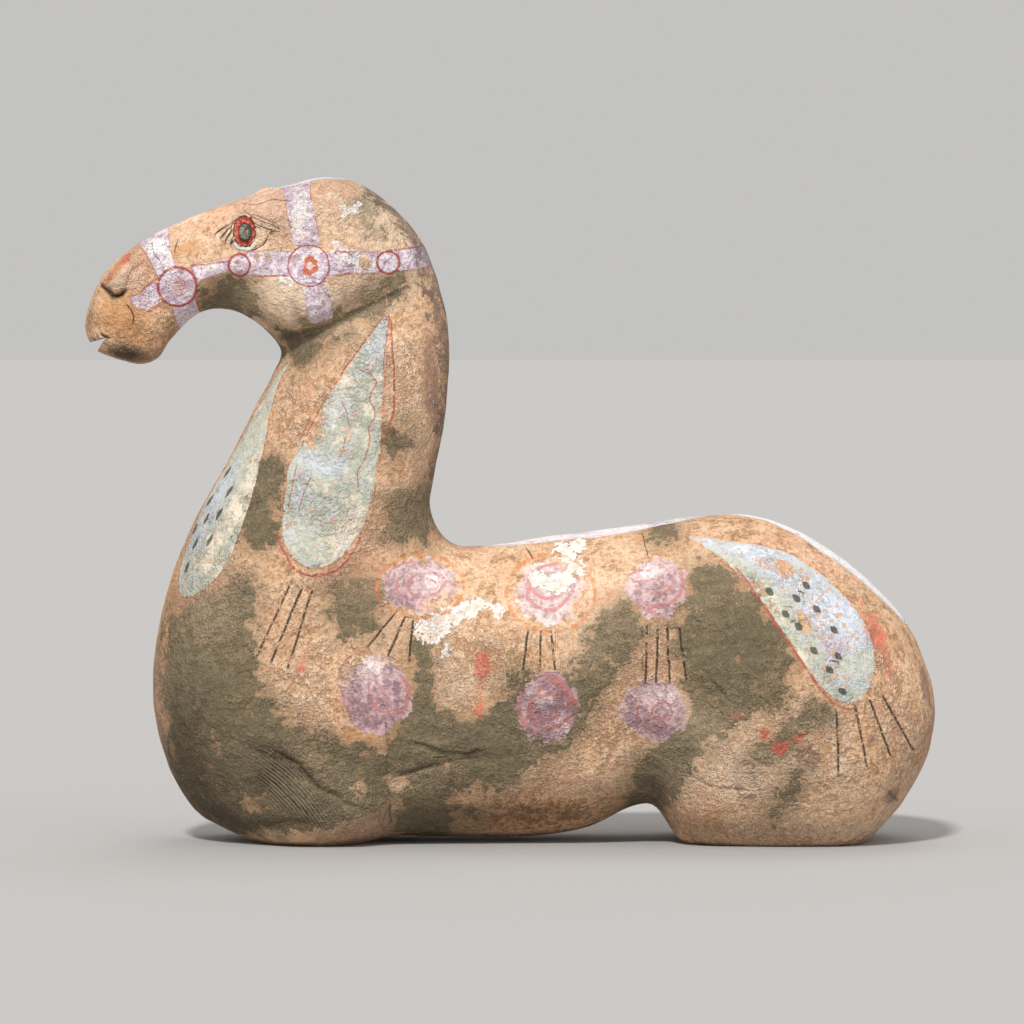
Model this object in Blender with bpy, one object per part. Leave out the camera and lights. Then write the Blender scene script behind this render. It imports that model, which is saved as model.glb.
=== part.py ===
"""Pottery figure of a horse lying down with its legs folded under it. The real one is a single hollow piece of
fired clay; here it is one closed solid of the same outer shape. Metres, +Z up, the muzzle towards -X.
The origin is on the ground, under the middle of the figure."""

import math

import bmesh
import bpy
import numpy as np

FIGURE_LENGTH = 0.640  # muzzle to rump
FIGURE_HEIGHT = 0.498  # ground to poll
FIGURE_WIDTH = 0.220  # across the haunches

CLAY_COLOUR = (0.46, 0.32, 0.22, 1.0)
CLAY_ROUGHNESS = 0.9

POINTS_AROUND = 56
RINGS_ALONG = 86
HEAD_RING_DENSITY = 1.9  # how many times closer the rings lie on the head than on the trunk
SPACING_SAMPLES = 4000  # places at which the outline is measured to space the rings
SMOOTH_UNDER = 40  # degrees; sharper edges, such as the mouth's and the seats', stay crisp

# The figure is one tube that runs from the rump over the trunk, up the neck and down the head. Each rib
# crosses it: where the rib meets the back line, where it meets the belly line, the half width there, how much
# fuller the section is on the belly side, and how square it is (2 is an ellipse).
# Places are percent of the length from the muzzle and percent of the height from the ground; widths are
# percent of half the figure's width. A belly point under the ground makes a flat seat.
RIBS = (
    ("rump", (100.0, 19.6), (100.0, 19.6), 0, 0.00, 2.0),
    ("tail root", (99.0, 25.6), (99.2, 13.6), 34, 0.05, 2.1),
    ("buttock", (96.3, 33.1), (96.9, 7.6), 63, 0.10, 2.2),
    ("back of haunch", (92.4, 38.7), (93.2, 1.3), 80, 0.12, 2.3),
    ("haunch", (86.9, 44.1), (89.2, -2.2), 89, 0.14, 2.35),
    ("croup", (81.4, 48.0), (83.3, -2.8), 91, 0.15, 2.4),
    ("top of croup", (76.5, 49.3), (77.3, -2.7), 90, 0.15, 2.4),
    ("thigh", (72.7, 48.9), (72.5, -1.8), 87, 0.14, 2.4),
    ("front of thigh", (70.2, 48.6), (69.6, -0.4), 85, 0.13, 2.35),
    ("flank fold", (68.3, 48.3), (67.9, 3.0), 83, 0.12, 2.3),
    ("flank", (66.2, 47.9), (66.2, 5.4), 80, 0.10, 2.25),
    ("loin", (63.6, 47.4), (63.4, 4.8), 79, 0.09, 2.2),
    ("barrel back", (59.1, 46.6), (58.9, 2.0), 78, 0.08, 2.2),
    ("barrel", (53.3, 45.5), (52.7, 0.6), 78, 0.08, 2.2),
    ("girth", (47.2, 44.3), (45.0, 0.45), 78, 0.09, 2.25),
    ("withers back", (43.6, 44.4), (38.0, 0.45), 79, 0.10, 2.3),
    ("withers", (42.0, 45.6), (33.8, -0.3), 80, 0.11, 2.35),
    ("foreleg", (41.0, 47.5), (29.2, -2.4), 81, 0.12, 2.4),
    ("knee", (40.5, 49.4), (23.9, -2.4), 81, 0.12, 2.4),
    ("front of knee", (40.4, 51.5), (18.5, -0.1), 80, 0.11, 2.35),
    ("low chest", (40.8, 54.9), (12.6, 4.6), 78, 0.09, 2.25),
    ("chest", (41.4, 58.9), (8.6, 15.0), 76, 0.07, 2.2),
    ("breast", (42.0, 63.1), (7.9, 25.7), 73, 0.06, 2.15),
    ("neck foot", (42.4, 67.3), (9.4, 36.6), 67, 0.05, 2.1),
    ("low neck", (42.6, 71.4), (12.4, 46.9), 60, 0.04, 2.1),
    ("neck", (42.6, 75.3), (15.9, 55.5), 53, 0.03, 2.1),
    ("high neck", (42.4, 79.0), (19.6, 64.5), 47, 0.02, 2.1),
    ("throat underside", (41.8, 82.1), (22.1, 70.6), 42, 0.00, 2.1),
    ("throat", (41.0, 85.5), (22.9, 73.4), 39, -0.02, 2.1),
    ("jaw angle", (39.5, 89.9), (22.3, 75.1), 44, -0.04, 2.2),
    ("cheek", (36.8, 94.5), (20.7, 77.4), 47, -0.06, 2.3),
    ("behind poll", (32.8, 98.5), (18.6, 79.2), 46, -0.08, 2.35),
    ("poll", (28.4, 100.0), (16.4, 80.0), 44, -0.10, 2.35),
    ("forehead", (24.3, 98.9), (14.6, 80.0), 42, -0.12, 2.3),
    ("brow", (20.0, 97.5), (12.9, 79.2), 39, -0.13, 2.25),
    ("face", (15.7, 95.6), (11.4, 77.6), 35, -0.11, 2.2),
    ("nose bridge", (11.5, 93.5), (9.9, 75.3), 31, -0.08, 2.2),
    ("nose", (7.7, 91.0), (8.4, 72.6), 29, -0.04, 2.25),
    ("nostrils", (4.6, 88.3), (6.4, 71.7), 28, 0.00, 2.3),
    ("muzzle", (1.9, 84.9), (3.9, 72.3), 25, 0.02, 2.3),
    ("lips", (0.3, 81.0), (1.6, 74.0), 18, 0.02, 2.2),
    ("lip tip", (0.0, 77.5), (0.0, 77.5), 0, 0.00, 2.0),
)
BACK_X, BACK_Z, BELLY_X, BELLY_Z, HALF_WIDTH, FULLNESS, SQUARENESS = range(7)
FIRST_HEAD_RIB = 29
RIBS_TO_CLOSE_UP = 3  # over this many ribs before it the rings draw closer

# Swells and hollows on the sides: centre and radii in the places' percents, the tilt of the long radius from
# level in degrees, and how far the clay rises, in percent of the length.
SWELLS = (
    ("haunch", (85.0, 21.0), (16.0, 20.0), 20, 1.4),
    ("hollow before the thigh", (70.5, 15.5), (3.6, 16.0), -18, -1.0),
    ("point of the shoulder", (17.0, 23.0), (9.5, 20.0), 0, 1.0),
    ("folded foreleg", (26.5, 4.5), (11.5, 6.5), -4, 1.6),
    ("hollow over the foreleg", (31.0, 12.5), (12.0, 4.5), -14, -0.5),
    ("cheek", (28.0, 84.5), (8.5, 10.5), -25, 0.9),
    ("hollow before the cheek", (17.0, 82.5), (5.5, 4.2), 20, -0.9),
    ("brow ridge", (20.5, 94.2), (5.5, 2.4), 18, 0.5),
    ("eyeball", (18.5, 91.5), (2.8, 3.0), 0, 0.5),
    ("nostril", (4.4, 85.2), (2.5, 3.6), -32, 0.8),
    ("upper lip", (4.0, 78.6), (4.0, 3.6), 0, 0.35),
    ("chin", (6.5, 73.8), (4.0, 2.6), 0, 0.4),
)
# The fold where the jaw lies against the neck, from the throat up towards the nape.
JAW_FOLD = ((22.8, 73.4), (28.0, 76.3), (32.5, 79.8), (36.5, 83.0))
JAW_FOLD_HALF_WIDTH = 1.5
JAW_FOLD_DEPTH = 1.2

# Between the folded legs the underside is drawn up into a cleft. Each has the middle and half of its length
# and its height at the middle, in percent of the figure's length; it fades out up the sides.
CLEFTS = ((26.5, 12.5, 4.4), (80.5, 15.0, 5.6))
CLEFT_HALF_WIDTH = 2.6
CLEFT_FADE = 12.0  # percent of the height

MOUTH_LEVEL = 75.9  # the slit's inner end, in percent of the height
MOUTH_DEPTH = 0.0150  # from the lips to the inner end of the slit
MOUTH_GAPE = 0.0056  # how far the lips stand apart in front
MOUTH_RISE = 0.0035  # how much higher the inner end lies than the opening
MOUTH_INNER_GAP = 0.0012
GROUND_SNAP = 0.0008  # points this near the ground are put on it, so that the cut leaves no slivers


def placed(length_percent, height_percent):
    """The x and z of a place given in percent of the length and height."""
    x = (np.asarray(length_percent) / 100 - 0.5) * FIGURE_LENGTH
    return x, np.asarray(height_percent) / 100 * FIGURE_HEIGHT


def smooth_through(values, knots, at):
    """A Catmull-Rom curve through values at uneven knots, read at fractional indices."""
    spans = np.diff(knots)[:, None]
    slopes = np.diff(values, axis=0) / spans
    before, after = spans[:-1], spans[1:]
    inner = (slopes[:-1] * after + slopes[1:] * before) / (before + after)
    tangents = np.concatenate([slopes[:1], inner, slopes[-1:]])
    low = np.clip(np.floor(at).astype(int), 0, len(values) - 2)
    s = (at - low)[:, None]
    span = spans[low]
    return (
        values[low] * (2 * s**3 - 3 * s**2 + 1)
        + tangents[low] * span * (s**3 - 2 * s**2 + s)
        + values[low + 1] * (-2 * s**3 + 3 * s**2)
        + tangents[low + 1] * span * (s**3 - s**2)
    )


def knots_of(points, power=0.5):
    """Centripetal knots, which keep a curve through uneven points free of loops."""
    steps = np.linalg.norm(np.diff(points, axis=0), axis=1) ** power
    return np.concatenate([[0.0], np.cumsum(steps)])


def rib_values(at):
    """The ribs' values at fractional rib numbers, one row each."""
    last = len(RIBS) - 1
    back = np.stack(placed(*zip(*[rib[1] for rib in RIBS])), axis=1)
    belly = np.stack(placed(*zip(*[rib[2] for rib in RIBS])), axis=1)
    outline = np.concatenate([belly[2:0:-1], back, belly[-2:0:-1], back[:3]])
    knots = knots_of(outline)
    lead = 2  # outline points before the rump
    on_back = smooth_through(outline, knots, at + lead)
    on_belly = smooth_through(outline, knots, np.where(at > 0, 2 * last - at, 0) + lead)
    near_rump = at < 1
    on_belly[near_rump] = smooth_through(outline, knots, lead - at[near_rump])
    form = np.array([rib[3:] for rib in RIBS], float)
    form[:, 0] *= FIGURE_WIDTH / 200
    odd = np.array([-1.0, 1.0, 1.0])
    form = np.concatenate([form[1:2] * odd, form, form[-2:-1] * odd])
    middle = (back + belly) / 2
    steps = np.linalg.norm(np.diff(middle, axis=0), axis=1)
    steps = np.concatenate([steps[:1], steps, steps[-1:]])
    form = smooth_through(form, np.concatenate([[0.0], np.cumsum(steps)]), at + 1)
    return np.concatenate([on_back, on_belly, form], axis=1)


def ring_places():
    """Fractional rib numbers of the rings: evenly spaced along the outline, and closer on the head."""
    fine = np.linspace(0, len(RIBS) - 1, SPACING_SAMPLES)
    ribs = rib_values(fine)
    back_steps = np.linalg.norm(np.diff(ribs[:, BACK_X : BACK_Z + 1], axis=0), axis=1)
    belly_steps = np.linalg.norm(np.diff(ribs[:, BELLY_X : BELLY_Z + 1], axis=0), axis=1)
    steps = np.maximum(back_steps, belly_steps)
    on_head = np.clip((fine[1:] - FIRST_HEAD_RIB) / RIBS_TO_CLOSE_UP + 1, 0, 1)
    steps = steps * (1 + (HEAD_RING_DENSITY - 1) * on_head)
    along = np.concatenate([[0.0], np.cumsum(steps)])
    return np.interp(np.linspace(0, along[-1], RINGS_ALONG + 1), along, fine)


def surface_point(rib, angle):
    """A point of the tube at each rib, where angle 0 is on the back line and pi on the belly line."""
    power = 2 / rib[:, SQUARENESS]
    c, s = np.cos(angle), np.sin(angle)
    down = -np.sign(c) * np.abs(c) ** power
    across = np.sign(s) * np.abs(s) ** power * (1 + rib[:, FULLNESS] * down)
    share = (1 + down) / 2
    x = rib[:, BACK_X] * (1 - share) + rib[:, BELLY_X] * share
    z = rib[:, BACK_Z] * (1 - share) + rib[:, BELLY_Z] * share
    return np.stack([x, -rib[:, HALF_WIDTH] * across, z], axis=1)


def swell_rise(points):
    """How far each point rises along its normal, from the swells, hollows and the jaw fold."""
    rise = np.zeros(len(points))
    for _, centre, radii, tilt, height in SWELLS:
        x, z = placed(*centre)
        across = (points[:, 0] - x) / FIGURE_LENGTH * 100
        up = (points[:, 2] - z) / FIGURE_HEIGHT * 100
        c, s = math.cos(math.radians(tilt)), math.sin(math.radians(tilt))
        away = ((across * c + up * s) / radii[0]) ** 2 + ((up * c - across * s) / radii[1]) ** 2
        rise += height * np.clip(1 - away, 0, None) ** 2
    fold = np.stack(placed(*zip(*JAW_FOLD)), axis=1)
    nearest, share_along = distance_to_line(points[:, [0, 2]], fold)
    depth = np.exp(-((nearest / (JAW_FOLD_HALF_WIDTH / 100 * FIGURE_LENGTH)) ** 2))
    rise -= JAW_FOLD_DEPTH * depth * np.clip(1 - share_along, 0, 1) ** 0.5
    return rise / 100 * FIGURE_LENGTH


def distance_to_line(points, line):
    """Distance of flat points from a line of straight runs, and the share of it where the nearest place is."""
    best = np.full(len(points), np.inf)
    share = np.zeros(len(points))
    for number, (start, end) in enumerate(zip(line[:-1], line[1:])):
        run = end - start
        t = np.clip((points - start) @ run / (run @ run), 0, 1)
        away = np.linalg.norm(points - start - t[:, None] * run, axis=1)
        nearer = away < best
        best[nearer] = away[nearer]
        share[nearer] = ((number + t) / (len(line) - 1))[nearer]
    return best, share


def cleft_lift(points):
    """How far the underside is drawn up between the folded legs."""
    lift = np.zeros(len(points))
    beside = np.exp(-((points[:, 1] / (CLEFT_HALF_WIDTH / 100 * FIGURE_LENGTH)) ** 2))
    low = np.clip(1 - points[:, 2] / (CLEFT_FADE / 100 * FIGURE_HEIGHT), 0, 1)
    for middle, half_length, height in CLEFTS:
        x = placed(middle, 0)[0]
        along = (points[:, 0] - x) / (half_length / 100 * FIGURE_LENGTH)
        lift += height * beside * low * np.clip(1 - along**2, 0, None)
    return lift / 100 * FIGURE_LENGTH


def pull_to_shape(lump):
    """Moves each point of a sphere to its place on the figure: the sphere's poles are the rump and the lips."""
    places = ring_places()
    verts = list(lump.verts)
    sphere = np.array([v.co for v in verts])
    radius = np.linalg.norm(sphere, axis=1)
    ring = np.rint(np.arccos(np.clip(sphere[:, 2] / radius, -1, 1)) / math.pi * RINGS_ALONG).astype(int)
    around = np.arctan2(sphere[:, 1], sphere[:, 0])
    points = surface_point(rib_values(places)[ring], around)
    for vert, point in zip(verts, points):
        vert.co = point
    lump.normal_update()
    normals = np.array([v.normal for v in verts])
    side = np.abs(normals[:, 1])
    points += normals * (swell_rise(points) * side * (2 - side))[:, None]
    points[:, 2] += cleft_lift(points)
    points[np.abs(points[:, 2]) < GROUND_SNAP, 2] = 0.0
    for vert, point in zip(verts, points):
        vert.co = point


def seat_on_ground(lump):
    """Cuts the lump off flat at the ground and closes the cut."""
    geometry = lump.verts[:] + lump.edges[:] + lump.faces[:]
    bmesh.ops.bisect_plane(
        lump, geom=geometry, dist=1e-6, plane_co=(0, 0, 0), plane_no=(0, 0, 1), clear_inner=True
    )
    rim = [edge for edge in lump.edges if edge.is_boundary]
    bmesh.ops.holes_fill(lump, edges=rim, sides=0)


def clay():
    """The bare fired clay, without its paint."""
    material = bpy.data.materials.new("fired_clay")
    material.use_nodes = True
    shader = material.node_tree.nodes["Principled BSDF"]
    shader.inputs["Base Color"].default_value = CLAY_COLOUR
    shader.inputs["Roughness"].default_value = CLAY_ROUGHNESS
    shader.inputs["Metallic"].default_value = 0.0
    return material


def object_of(name, lump):
    """An object in the scene made from a finished lump."""
    mesh = bpy.data.meshes.new(name)
    lump.to_mesh(mesh)
    lump.free()
    made = bpy.data.objects.new(name, mesh)
    bpy.context.scene.collection.objects.link(made)
    return made


def mouth_cutter():
    """A wedge that opens towards the front: what it takes away is the slit between the lips."""
    lips_x, inner_z = placed(0, MOUTH_LEVEL)
    inner_x = lips_x + MOUTH_DEPTH
    front_x = lips_x - MOUTH_DEPTH
    lengths_out = (inner_x - front_x) / MOUTH_DEPTH
    front_z = inner_z - MOUTH_RISE * lengths_out
    front_gap = MOUTH_GAPE * lengths_out
    profile = (
        (inner_x, inner_z - MOUTH_INNER_GAP / 2),
        (inner_x, inner_z + MOUTH_INNER_GAP / 2),
        (front_x, front_z + front_gap / 2),
        (front_x, front_z - front_gap / 2),
    )
    wedge = bmesh.new()
    reach = FIGURE_WIDTH
    corners = [wedge.verts.new((x, -reach, z)) for x, z in profile]
    face = wedge.faces.new(corners)
    pushed = bmesh.ops.extrude_face_region(wedge, geom=[face])
    moved = [item for item in pushed["geom"] if isinstance(item, bmesh.types.BMVert)]
    bmesh.ops.translate(wedge, verts=moved, vec=(0, 2 * reach, 0))
    bmesh.ops.recalc_face_normals(wedge, faces=wedge.faces[:])
    cutter = object_of("mouth_cutter", wedge)
    cutter.hide_render = True
    cutter.display_type = "WIRE"
    return cutter


def horse():
    """The whole figure, one piece of clay."""
    lump = bmesh.new()
    bmesh.ops.create_uvsphere(lump, u_segments=POINTS_AROUND, v_segments=RINGS_ALONG, radius=1.0)
    pull_to_shape(lump)
    seat_on_ground(lump)
    figure = object_of("horse_figure", lump)
    figure.data.materials.append(clay())
    slit = figure.modifiers.new("mouth", "BOOLEAN")
    slit.operation = "DIFFERENCE"
    slit.solver = "EXACT"
    slit.object = mouth_cutter()
    figure.data.shade_smooth()
    figure.data.set_sharp_from_angle(angle=math.radians(SMOOTH_UNDER))


for old in list(bpy.data.objects):
    bpy.data.objects.remove(old)
horse()
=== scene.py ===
import math

import bpy
import numpy as np
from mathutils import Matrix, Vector, kdtree, noise


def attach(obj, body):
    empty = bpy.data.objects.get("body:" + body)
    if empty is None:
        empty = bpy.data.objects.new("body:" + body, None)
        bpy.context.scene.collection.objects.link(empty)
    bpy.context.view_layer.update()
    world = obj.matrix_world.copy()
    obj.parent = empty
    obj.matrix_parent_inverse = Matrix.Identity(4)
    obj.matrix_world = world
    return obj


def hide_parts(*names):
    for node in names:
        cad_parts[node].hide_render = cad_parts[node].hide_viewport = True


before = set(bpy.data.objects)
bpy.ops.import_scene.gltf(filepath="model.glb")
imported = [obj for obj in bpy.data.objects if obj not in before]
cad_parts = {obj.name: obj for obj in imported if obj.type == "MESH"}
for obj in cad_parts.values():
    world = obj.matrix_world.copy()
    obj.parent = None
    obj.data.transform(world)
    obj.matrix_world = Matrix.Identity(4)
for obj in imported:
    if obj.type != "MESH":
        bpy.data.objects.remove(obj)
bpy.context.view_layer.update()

# Studio
# The figure stands on a plain pale floor under soft lamps. The camera looks at its left side, level with
# the body and from well back, as a museum photographs it.
EYE_POINT = Vector((0.0, 0.0, 0.2464))
CAMERA_DISTANCE = 5.0
CAMERA_ELEVATION = math.radians(2.0)
VIEW_WIDTH = 0.770  # what the picture takes in at the figure
SENSOR = 36.0
LAMP_DISTANCE = 3.0
AIR_COLOUR = (1.0, 0.99, 0.98, 1.0)
AIR_STRENGTH = 0.55
FLOOR_SIZE = 60.0
FLOOR_DROP = 0.0005  # the floor lies this far under the seats, so that the two never share a plane
FLOOR_COLOUR = (0.44, 0.434, 0.43, 1.0)
FLOOR_ROUGHNESS = 0.9

towards_camera = Vector((0.0, -math.cos(CAMERA_ELEVATION), math.sin(CAMERA_ELEVATION)))
bpy.ops.object.camera_add(location=EYE_POINT + towards_camera * CAMERA_DISTANCE)
camera = bpy.context.object
camera.rotation_euler = (-towards_camera).to_track_quat("-Z", "Y").to_euler()
camera.data.sensor_width = SENSOR
camera.data.lens = SENSOR * CAMERA_DISTANCE / VIEW_WIDTH
camera.data.clip_end = 200.0
bpy.context.scene.camera = camera
bpy.context.scene.view_settings.view_transform = "Standard"

# Each lamp: the way its light comes from, how soft it is in degrees, its strength and its tint.
LAMPS = {
    "key": ((-0.18, -0.80, 0.82), 6.0, 2.75, (1.0, 0.975, 0.94)),
    "fill": ((0.80, -0.62, 0.20), 40.0, 0.24, (0.96, 0.98, 1.0)),
    "top": ((0.10, 0.45, 0.90), 30.0, 0.50, (1.0, 0.98, 0.96)),
}
for name, (way, softness, strength, tint) in LAMPS.items():
    bpy.ops.object.light_add(type="SUN", location=Vector(way) * LAMP_DISTANCE)
    lamp = bpy.context.object
    lamp.name = name
    lamp.rotation_euler = (-Vector(way)).to_track_quat("-Z", "Y").to_euler()
    lamp.data.angle = math.radians(softness)
    lamp.data.energy = strength
    lamp.data.color = tint

world = bpy.data.worlds.new("studio_air")
bpy.context.scene.world = world
world.use_nodes = True
air = world.node_tree.nodes["Background"]
air.inputs["Color"].default_value = AIR_COLOUR
air.inputs["Strength"].default_value = AIR_STRENGTH

bpy.ops.mesh.primitive_plane_add(size=FLOOR_SIZE, location=(0.0, 0.0, -FLOOR_DROP))
floor = bpy.context.object
floor.name = "floor"
floor_paint = bpy.data.materials.new("pale_floor")
floor_paint.use_nodes = True
floor_shader = floor_paint.node_tree.nodes["Principled BSDF"]
floor_shader.inputs["Base Color"].default_value = FLOOR_COLOUR
floor_shader.inputs["Roughness"].default_value = FLOOR_ROUGHNESS
floor.data.materials.append(floor_paint)

# Horse figure
# One hollow piece of low-fired clay in the shape of a horse lying down. It was built up by hand, smoothed
# with wet fingers and a toothed scraper, fired, and painted cold; it has no loose parts.
FIGURE_LENGTH = 0.640  # muzzle to rump
FIGURE_HEIGHT = 0.498  # ground to poll
FIGURE_WIDTH = 0.220  # across the haunches
POINTS_AROUND = 212
RINGS_ALONG = 430
HEAD_RING_DENSITY = 1.9  # how many times closer the rings lie on the head than on the trunk
SPACING_SAMPLES = 4000
RUMP_RINGS = 75  # over these the tube is eased more
MM = 0.001

# The figure is one tube from the rump over the trunk, up the neck and down the head. Each rib crosses it:
# where it meets the back line and the belly line, the half width, how much fuller it is below, and how
# square it is. Places are percent of the length from the muzzle and percent of the height from the ground;
# widths are percent of half the figure's width.
RIBS = (
    ("rump", (100.0, 19.6), (100.0, 19.6), 0, 0.00, 2.0),
    ("tail root", (99.0, 25.6), (99.2, 13.6), 34, 0.05, 2.1),
    ("buttock", (96.3, 33.1), (96.9, 7.6), 63, 0.10, 2.2),
    ("back of haunch", (92.4, 38.7), (93.2, 1.3), 80, 0.12, 2.3),
    ("haunch", (86.9, 44.1), (89.2, -2.2), 89, 0.14, 2.35),
    ("croup", (81.4, 48.0), (83.3, -2.8), 91, 0.15, 2.4),
    ("top of croup", (76.5, 49.3), (77.3, -2.7), 90, 0.15, 2.4),
    ("thigh", (72.7, 48.9), (72.5, -1.8), 87, 0.14, 2.4),
    ("front of thigh", (70.2, 48.6), (69.6, -0.4), 85, 0.13, 2.35),
    ("flank fold", (68.3, 48.3), (67.9, 3.0), 83, 0.12, 2.3),
    ("flank", (66.2, 47.9), (66.2, 5.4), 80, 0.10, 2.25),
    ("loin", (63.6, 47.4), (63.4, 4.8), 79, 0.09, 2.2),
    ("barrel back", (59.1, 46.6), (58.9, 2.0), 78, 0.08, 2.2),
    ("barrel", (53.3, 45.5), (52.7, 0.6), 78, 0.08, 2.2),
    ("girth", (47.2, 44.3), (45.0, 0.45), 78, 0.09, 2.25),
    ("withers back", (43.6, 44.4), (38.0, 0.45), 79, 0.10, 2.3),
    ("withers", (42.0, 45.6), (33.8, -0.3), 80, 0.11, 2.35),
    ("foreleg", (41.0, 47.5), (29.2, -2.4), 81, 0.12, 2.4),
    ("knee", (40.5, 49.4), (23.9, -2.4), 81, 0.12, 2.4),
    ("front of knee", (40.4, 51.5), (18.5, -0.1), 80, 0.11, 2.35),
    ("low chest", (40.8, 54.9), (12.6, 4.6), 78, 0.09, 2.25),
    ("chest", (41.4, 58.9), (8.6, 15.0), 76, 0.07, 2.2),
    ("breast", (42.0, 63.1), (7.9, 25.7), 73, 0.06, 2.15),
    ("neck foot", (42.4, 67.3), (9.4, 36.6), 67, 0.05, 2.1),
    ("low neck", (42.6, 71.4), (12.4, 46.9), 60, 0.04, 2.1),
    ("neck", (42.6, 75.3), (15.9, 55.5), 53, 0.03, 2.1),
    ("high neck", (42.4, 79.0), (19.6, 64.5), 47, 0.02, 2.1),
    ("throat underside", (41.8, 82.1), (22.1, 70.6), 42, 0.00, 2.1),
    ("throat", (41.0, 85.5), (22.9, 73.4), 39, -0.02, 2.1),
    ("jaw angle", (39.5, 89.9), (22.3, 75.1), 44, -0.04, 2.2),
    ("cheek", (36.8, 94.5), (20.7, 77.4), 47, -0.06, 2.3),
    ("behind poll", (32.8, 98.5), (18.6, 79.2), 46, -0.08, 2.35),
    ("poll", (28.4, 100.0), (16.4, 80.0), 44, -0.10, 2.35),
    ("forehead", (24.3, 98.9), (14.6, 80.0), 42, -0.12, 2.3),
    ("brow", (20.0, 97.5), (12.9, 79.2), 39, -0.13, 2.25),
    ("face", (15.7, 95.6), (11.4, 77.6), 35, -0.11, 2.2),
    ("nose bridge", (11.5, 93.5), (9.9, 75.3), 31, -0.08, 2.2),
    ("nose", (7.7, 91.0), (8.4, 72.6), 29, -0.04, 2.25),
    ("nostrils", (4.6, 88.3), (6.4, 71.7), 28, 0.00, 2.3),
    ("muzzle", (1.9, 84.9), (3.9, 72.3), 25, 0.02, 2.3),
    ("lips", (0.5, 80.6), (1.25, 73.8), 18, 0.02, 2.2),
    ("lip tip", (0.05, 76.7), (0.05, 76.7), 0, 0.00, 2.0),
)
BACK_X, BACK_Z, BELLY_X, BELLY_Z, HALF_WIDTH, FULLNESS, SQUARENESS = range(7)
FIRST_HEAD_RIB = 29
RIBS_TO_CLOSE_UP = 3

# Broad swells and hollows: centre and radii in percent, the tilt of the long radius from level in degrees,
# and how far the clay rises, in percent of the length.
SWELLS = (
    ("haunch", (85.0, 21.0), (16.0, 20.0), 20, 1.4),
    ("hollow before the thigh", (70.5, 15.5), (3.6, 16.0), -18, -1.0),
    ("point of the shoulder", (17.0, 23.0), (9.5, 20.0), 0, 1.0),
    ("folded foreleg", (26.5, 4.5), (11.5, 6.5), -4, 1.6),
    ("hollow over the foreleg", (31.0, 12.5), (12.0, 4.5), -14, -0.5),
    ("cheek", (28.0, 84.5), (8.5, 10.5), -25, 0.9),
    ("hollow before the cheek", (17.0, 82.5), (5.5, 4.2), 20, -0.9),
    ("brow ridge", (20.5, 94.2), (5.5, 2.4), 18, 0.5),
    ("eyeball", (18.5, 91.5), (2.8, 3.0), 0, 0.5),
    ("nostril", (4.4, 85.2), (2.5, 3.6), -32, 0.8),
    ("upper lip", (4.0, 78.6), (4.0, 3.6), 0, 0.35),
    ("chin", (6.5, 73.8), (4.0, 2.6), 0, 0.4),
)
# The fold under the jaw, deepest at its front end: its line, half width and depth, in percent of the length.
JAW_FOLD = ((22.8, 73.4), (28.0, 76.3), (32.5, 79.8), (36.5, 83.0))
JAW_FOLD_HALF_WIDTH = 2.0
JAW_FOLD_DEPTH = 1.15

# Finer lumps and dents, in millimetres: centre in percent, radii, tilt, rise, and where it is: on the left,
# on the right, on both sides or along the top.
LUMPS = (
    ("eye socket", (19.2, 91.9), (19.0, 16.0), 14, -1.6, "both"),
    ("ball of the eye", (18.9, 91.7), (9.5, 10.5), 0, 2.6, "both"),
    ("cheek bone", (22.5, 86.5), (22.0, 6.0), -8, 1.3, "both"),
    ("nostril wing", (4.3, 85.6), (17.0, 11.0), 48, 3.2, "both"),
    ("upper lip", (2.6, 79.2), (13.0, 9.0), -20, 1.4, "both"),
    ("corner of the mouth", (6.2, 78.4), (7.0, 10.0), 0, 1.3, "both"),
    ("lower lip", (4.4, 73.6), (14.0, 5.0), 0, 1.8, "both"),
    ("chin groove", (8.6, 75.6), (7.0, 7.0), 30, -1.2, "both"),
    ("fetlock", (31.0, 1.6), (26.0, 13.0), 0, 3.4, "both"),
    ("hoof", (24.4, 1.0), (26.0, 9.0), -2, 4.2, "both"),
    ("forearm", (24.2, 7.8), (27.0, 11.0), -46, 5.2, "both"),
    ("pastern", (31.8, 4.6), (17.0, 14.0), -30, 4.0, "both"),
    ("hollow above the forearm", (22.0, 13.4), (40.0, 10.0), -24, -3.0, "both"),
    ("forelock", (20.9, 98.2), (11.0, 7.0), 10, 2.6, "top"),
    ("knee", (16.2, 6.6), (15.0, 15.0), 20, 1.8, "both"),
    ("stifle", (73.5, 26.0), (34.0, 34.0), 30, 1.6, "both"),
    ("hock", (72.6, 5.2), (17.0, 20.0), 0, 2.2, "both"),
    ("pressed side of the barrel", (56.0, 12.0), (60.0, 22.0), 6, 1.5, "both"),
    ("thumb dent on the shoulder", (27.6, 22.4), (14.0, 20.0), 30, -1.0, "left"),
    ("dent on the rear leg", (83.0, 7.4), (26.0, 8.0), 10, -1.0, "left"),
    ("swelling of the flank", (48.0, 26.0), (40.0, 20.0), -20, 1.2, "left"),
    ("dent on the far haunch", (82.0, 30.0), (24.0, 30.0), -20, -1.3, "right"),
    ("dent on the far neck", (33.0, 58.0), (16.0, 32.0), 10, -1.2, "right"),
)
SIDE_BLEND = 30.0  # a lump on one side runs out over this distance from the middle
TOP_BAND = 14.0  # and one along the top over this distance
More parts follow.
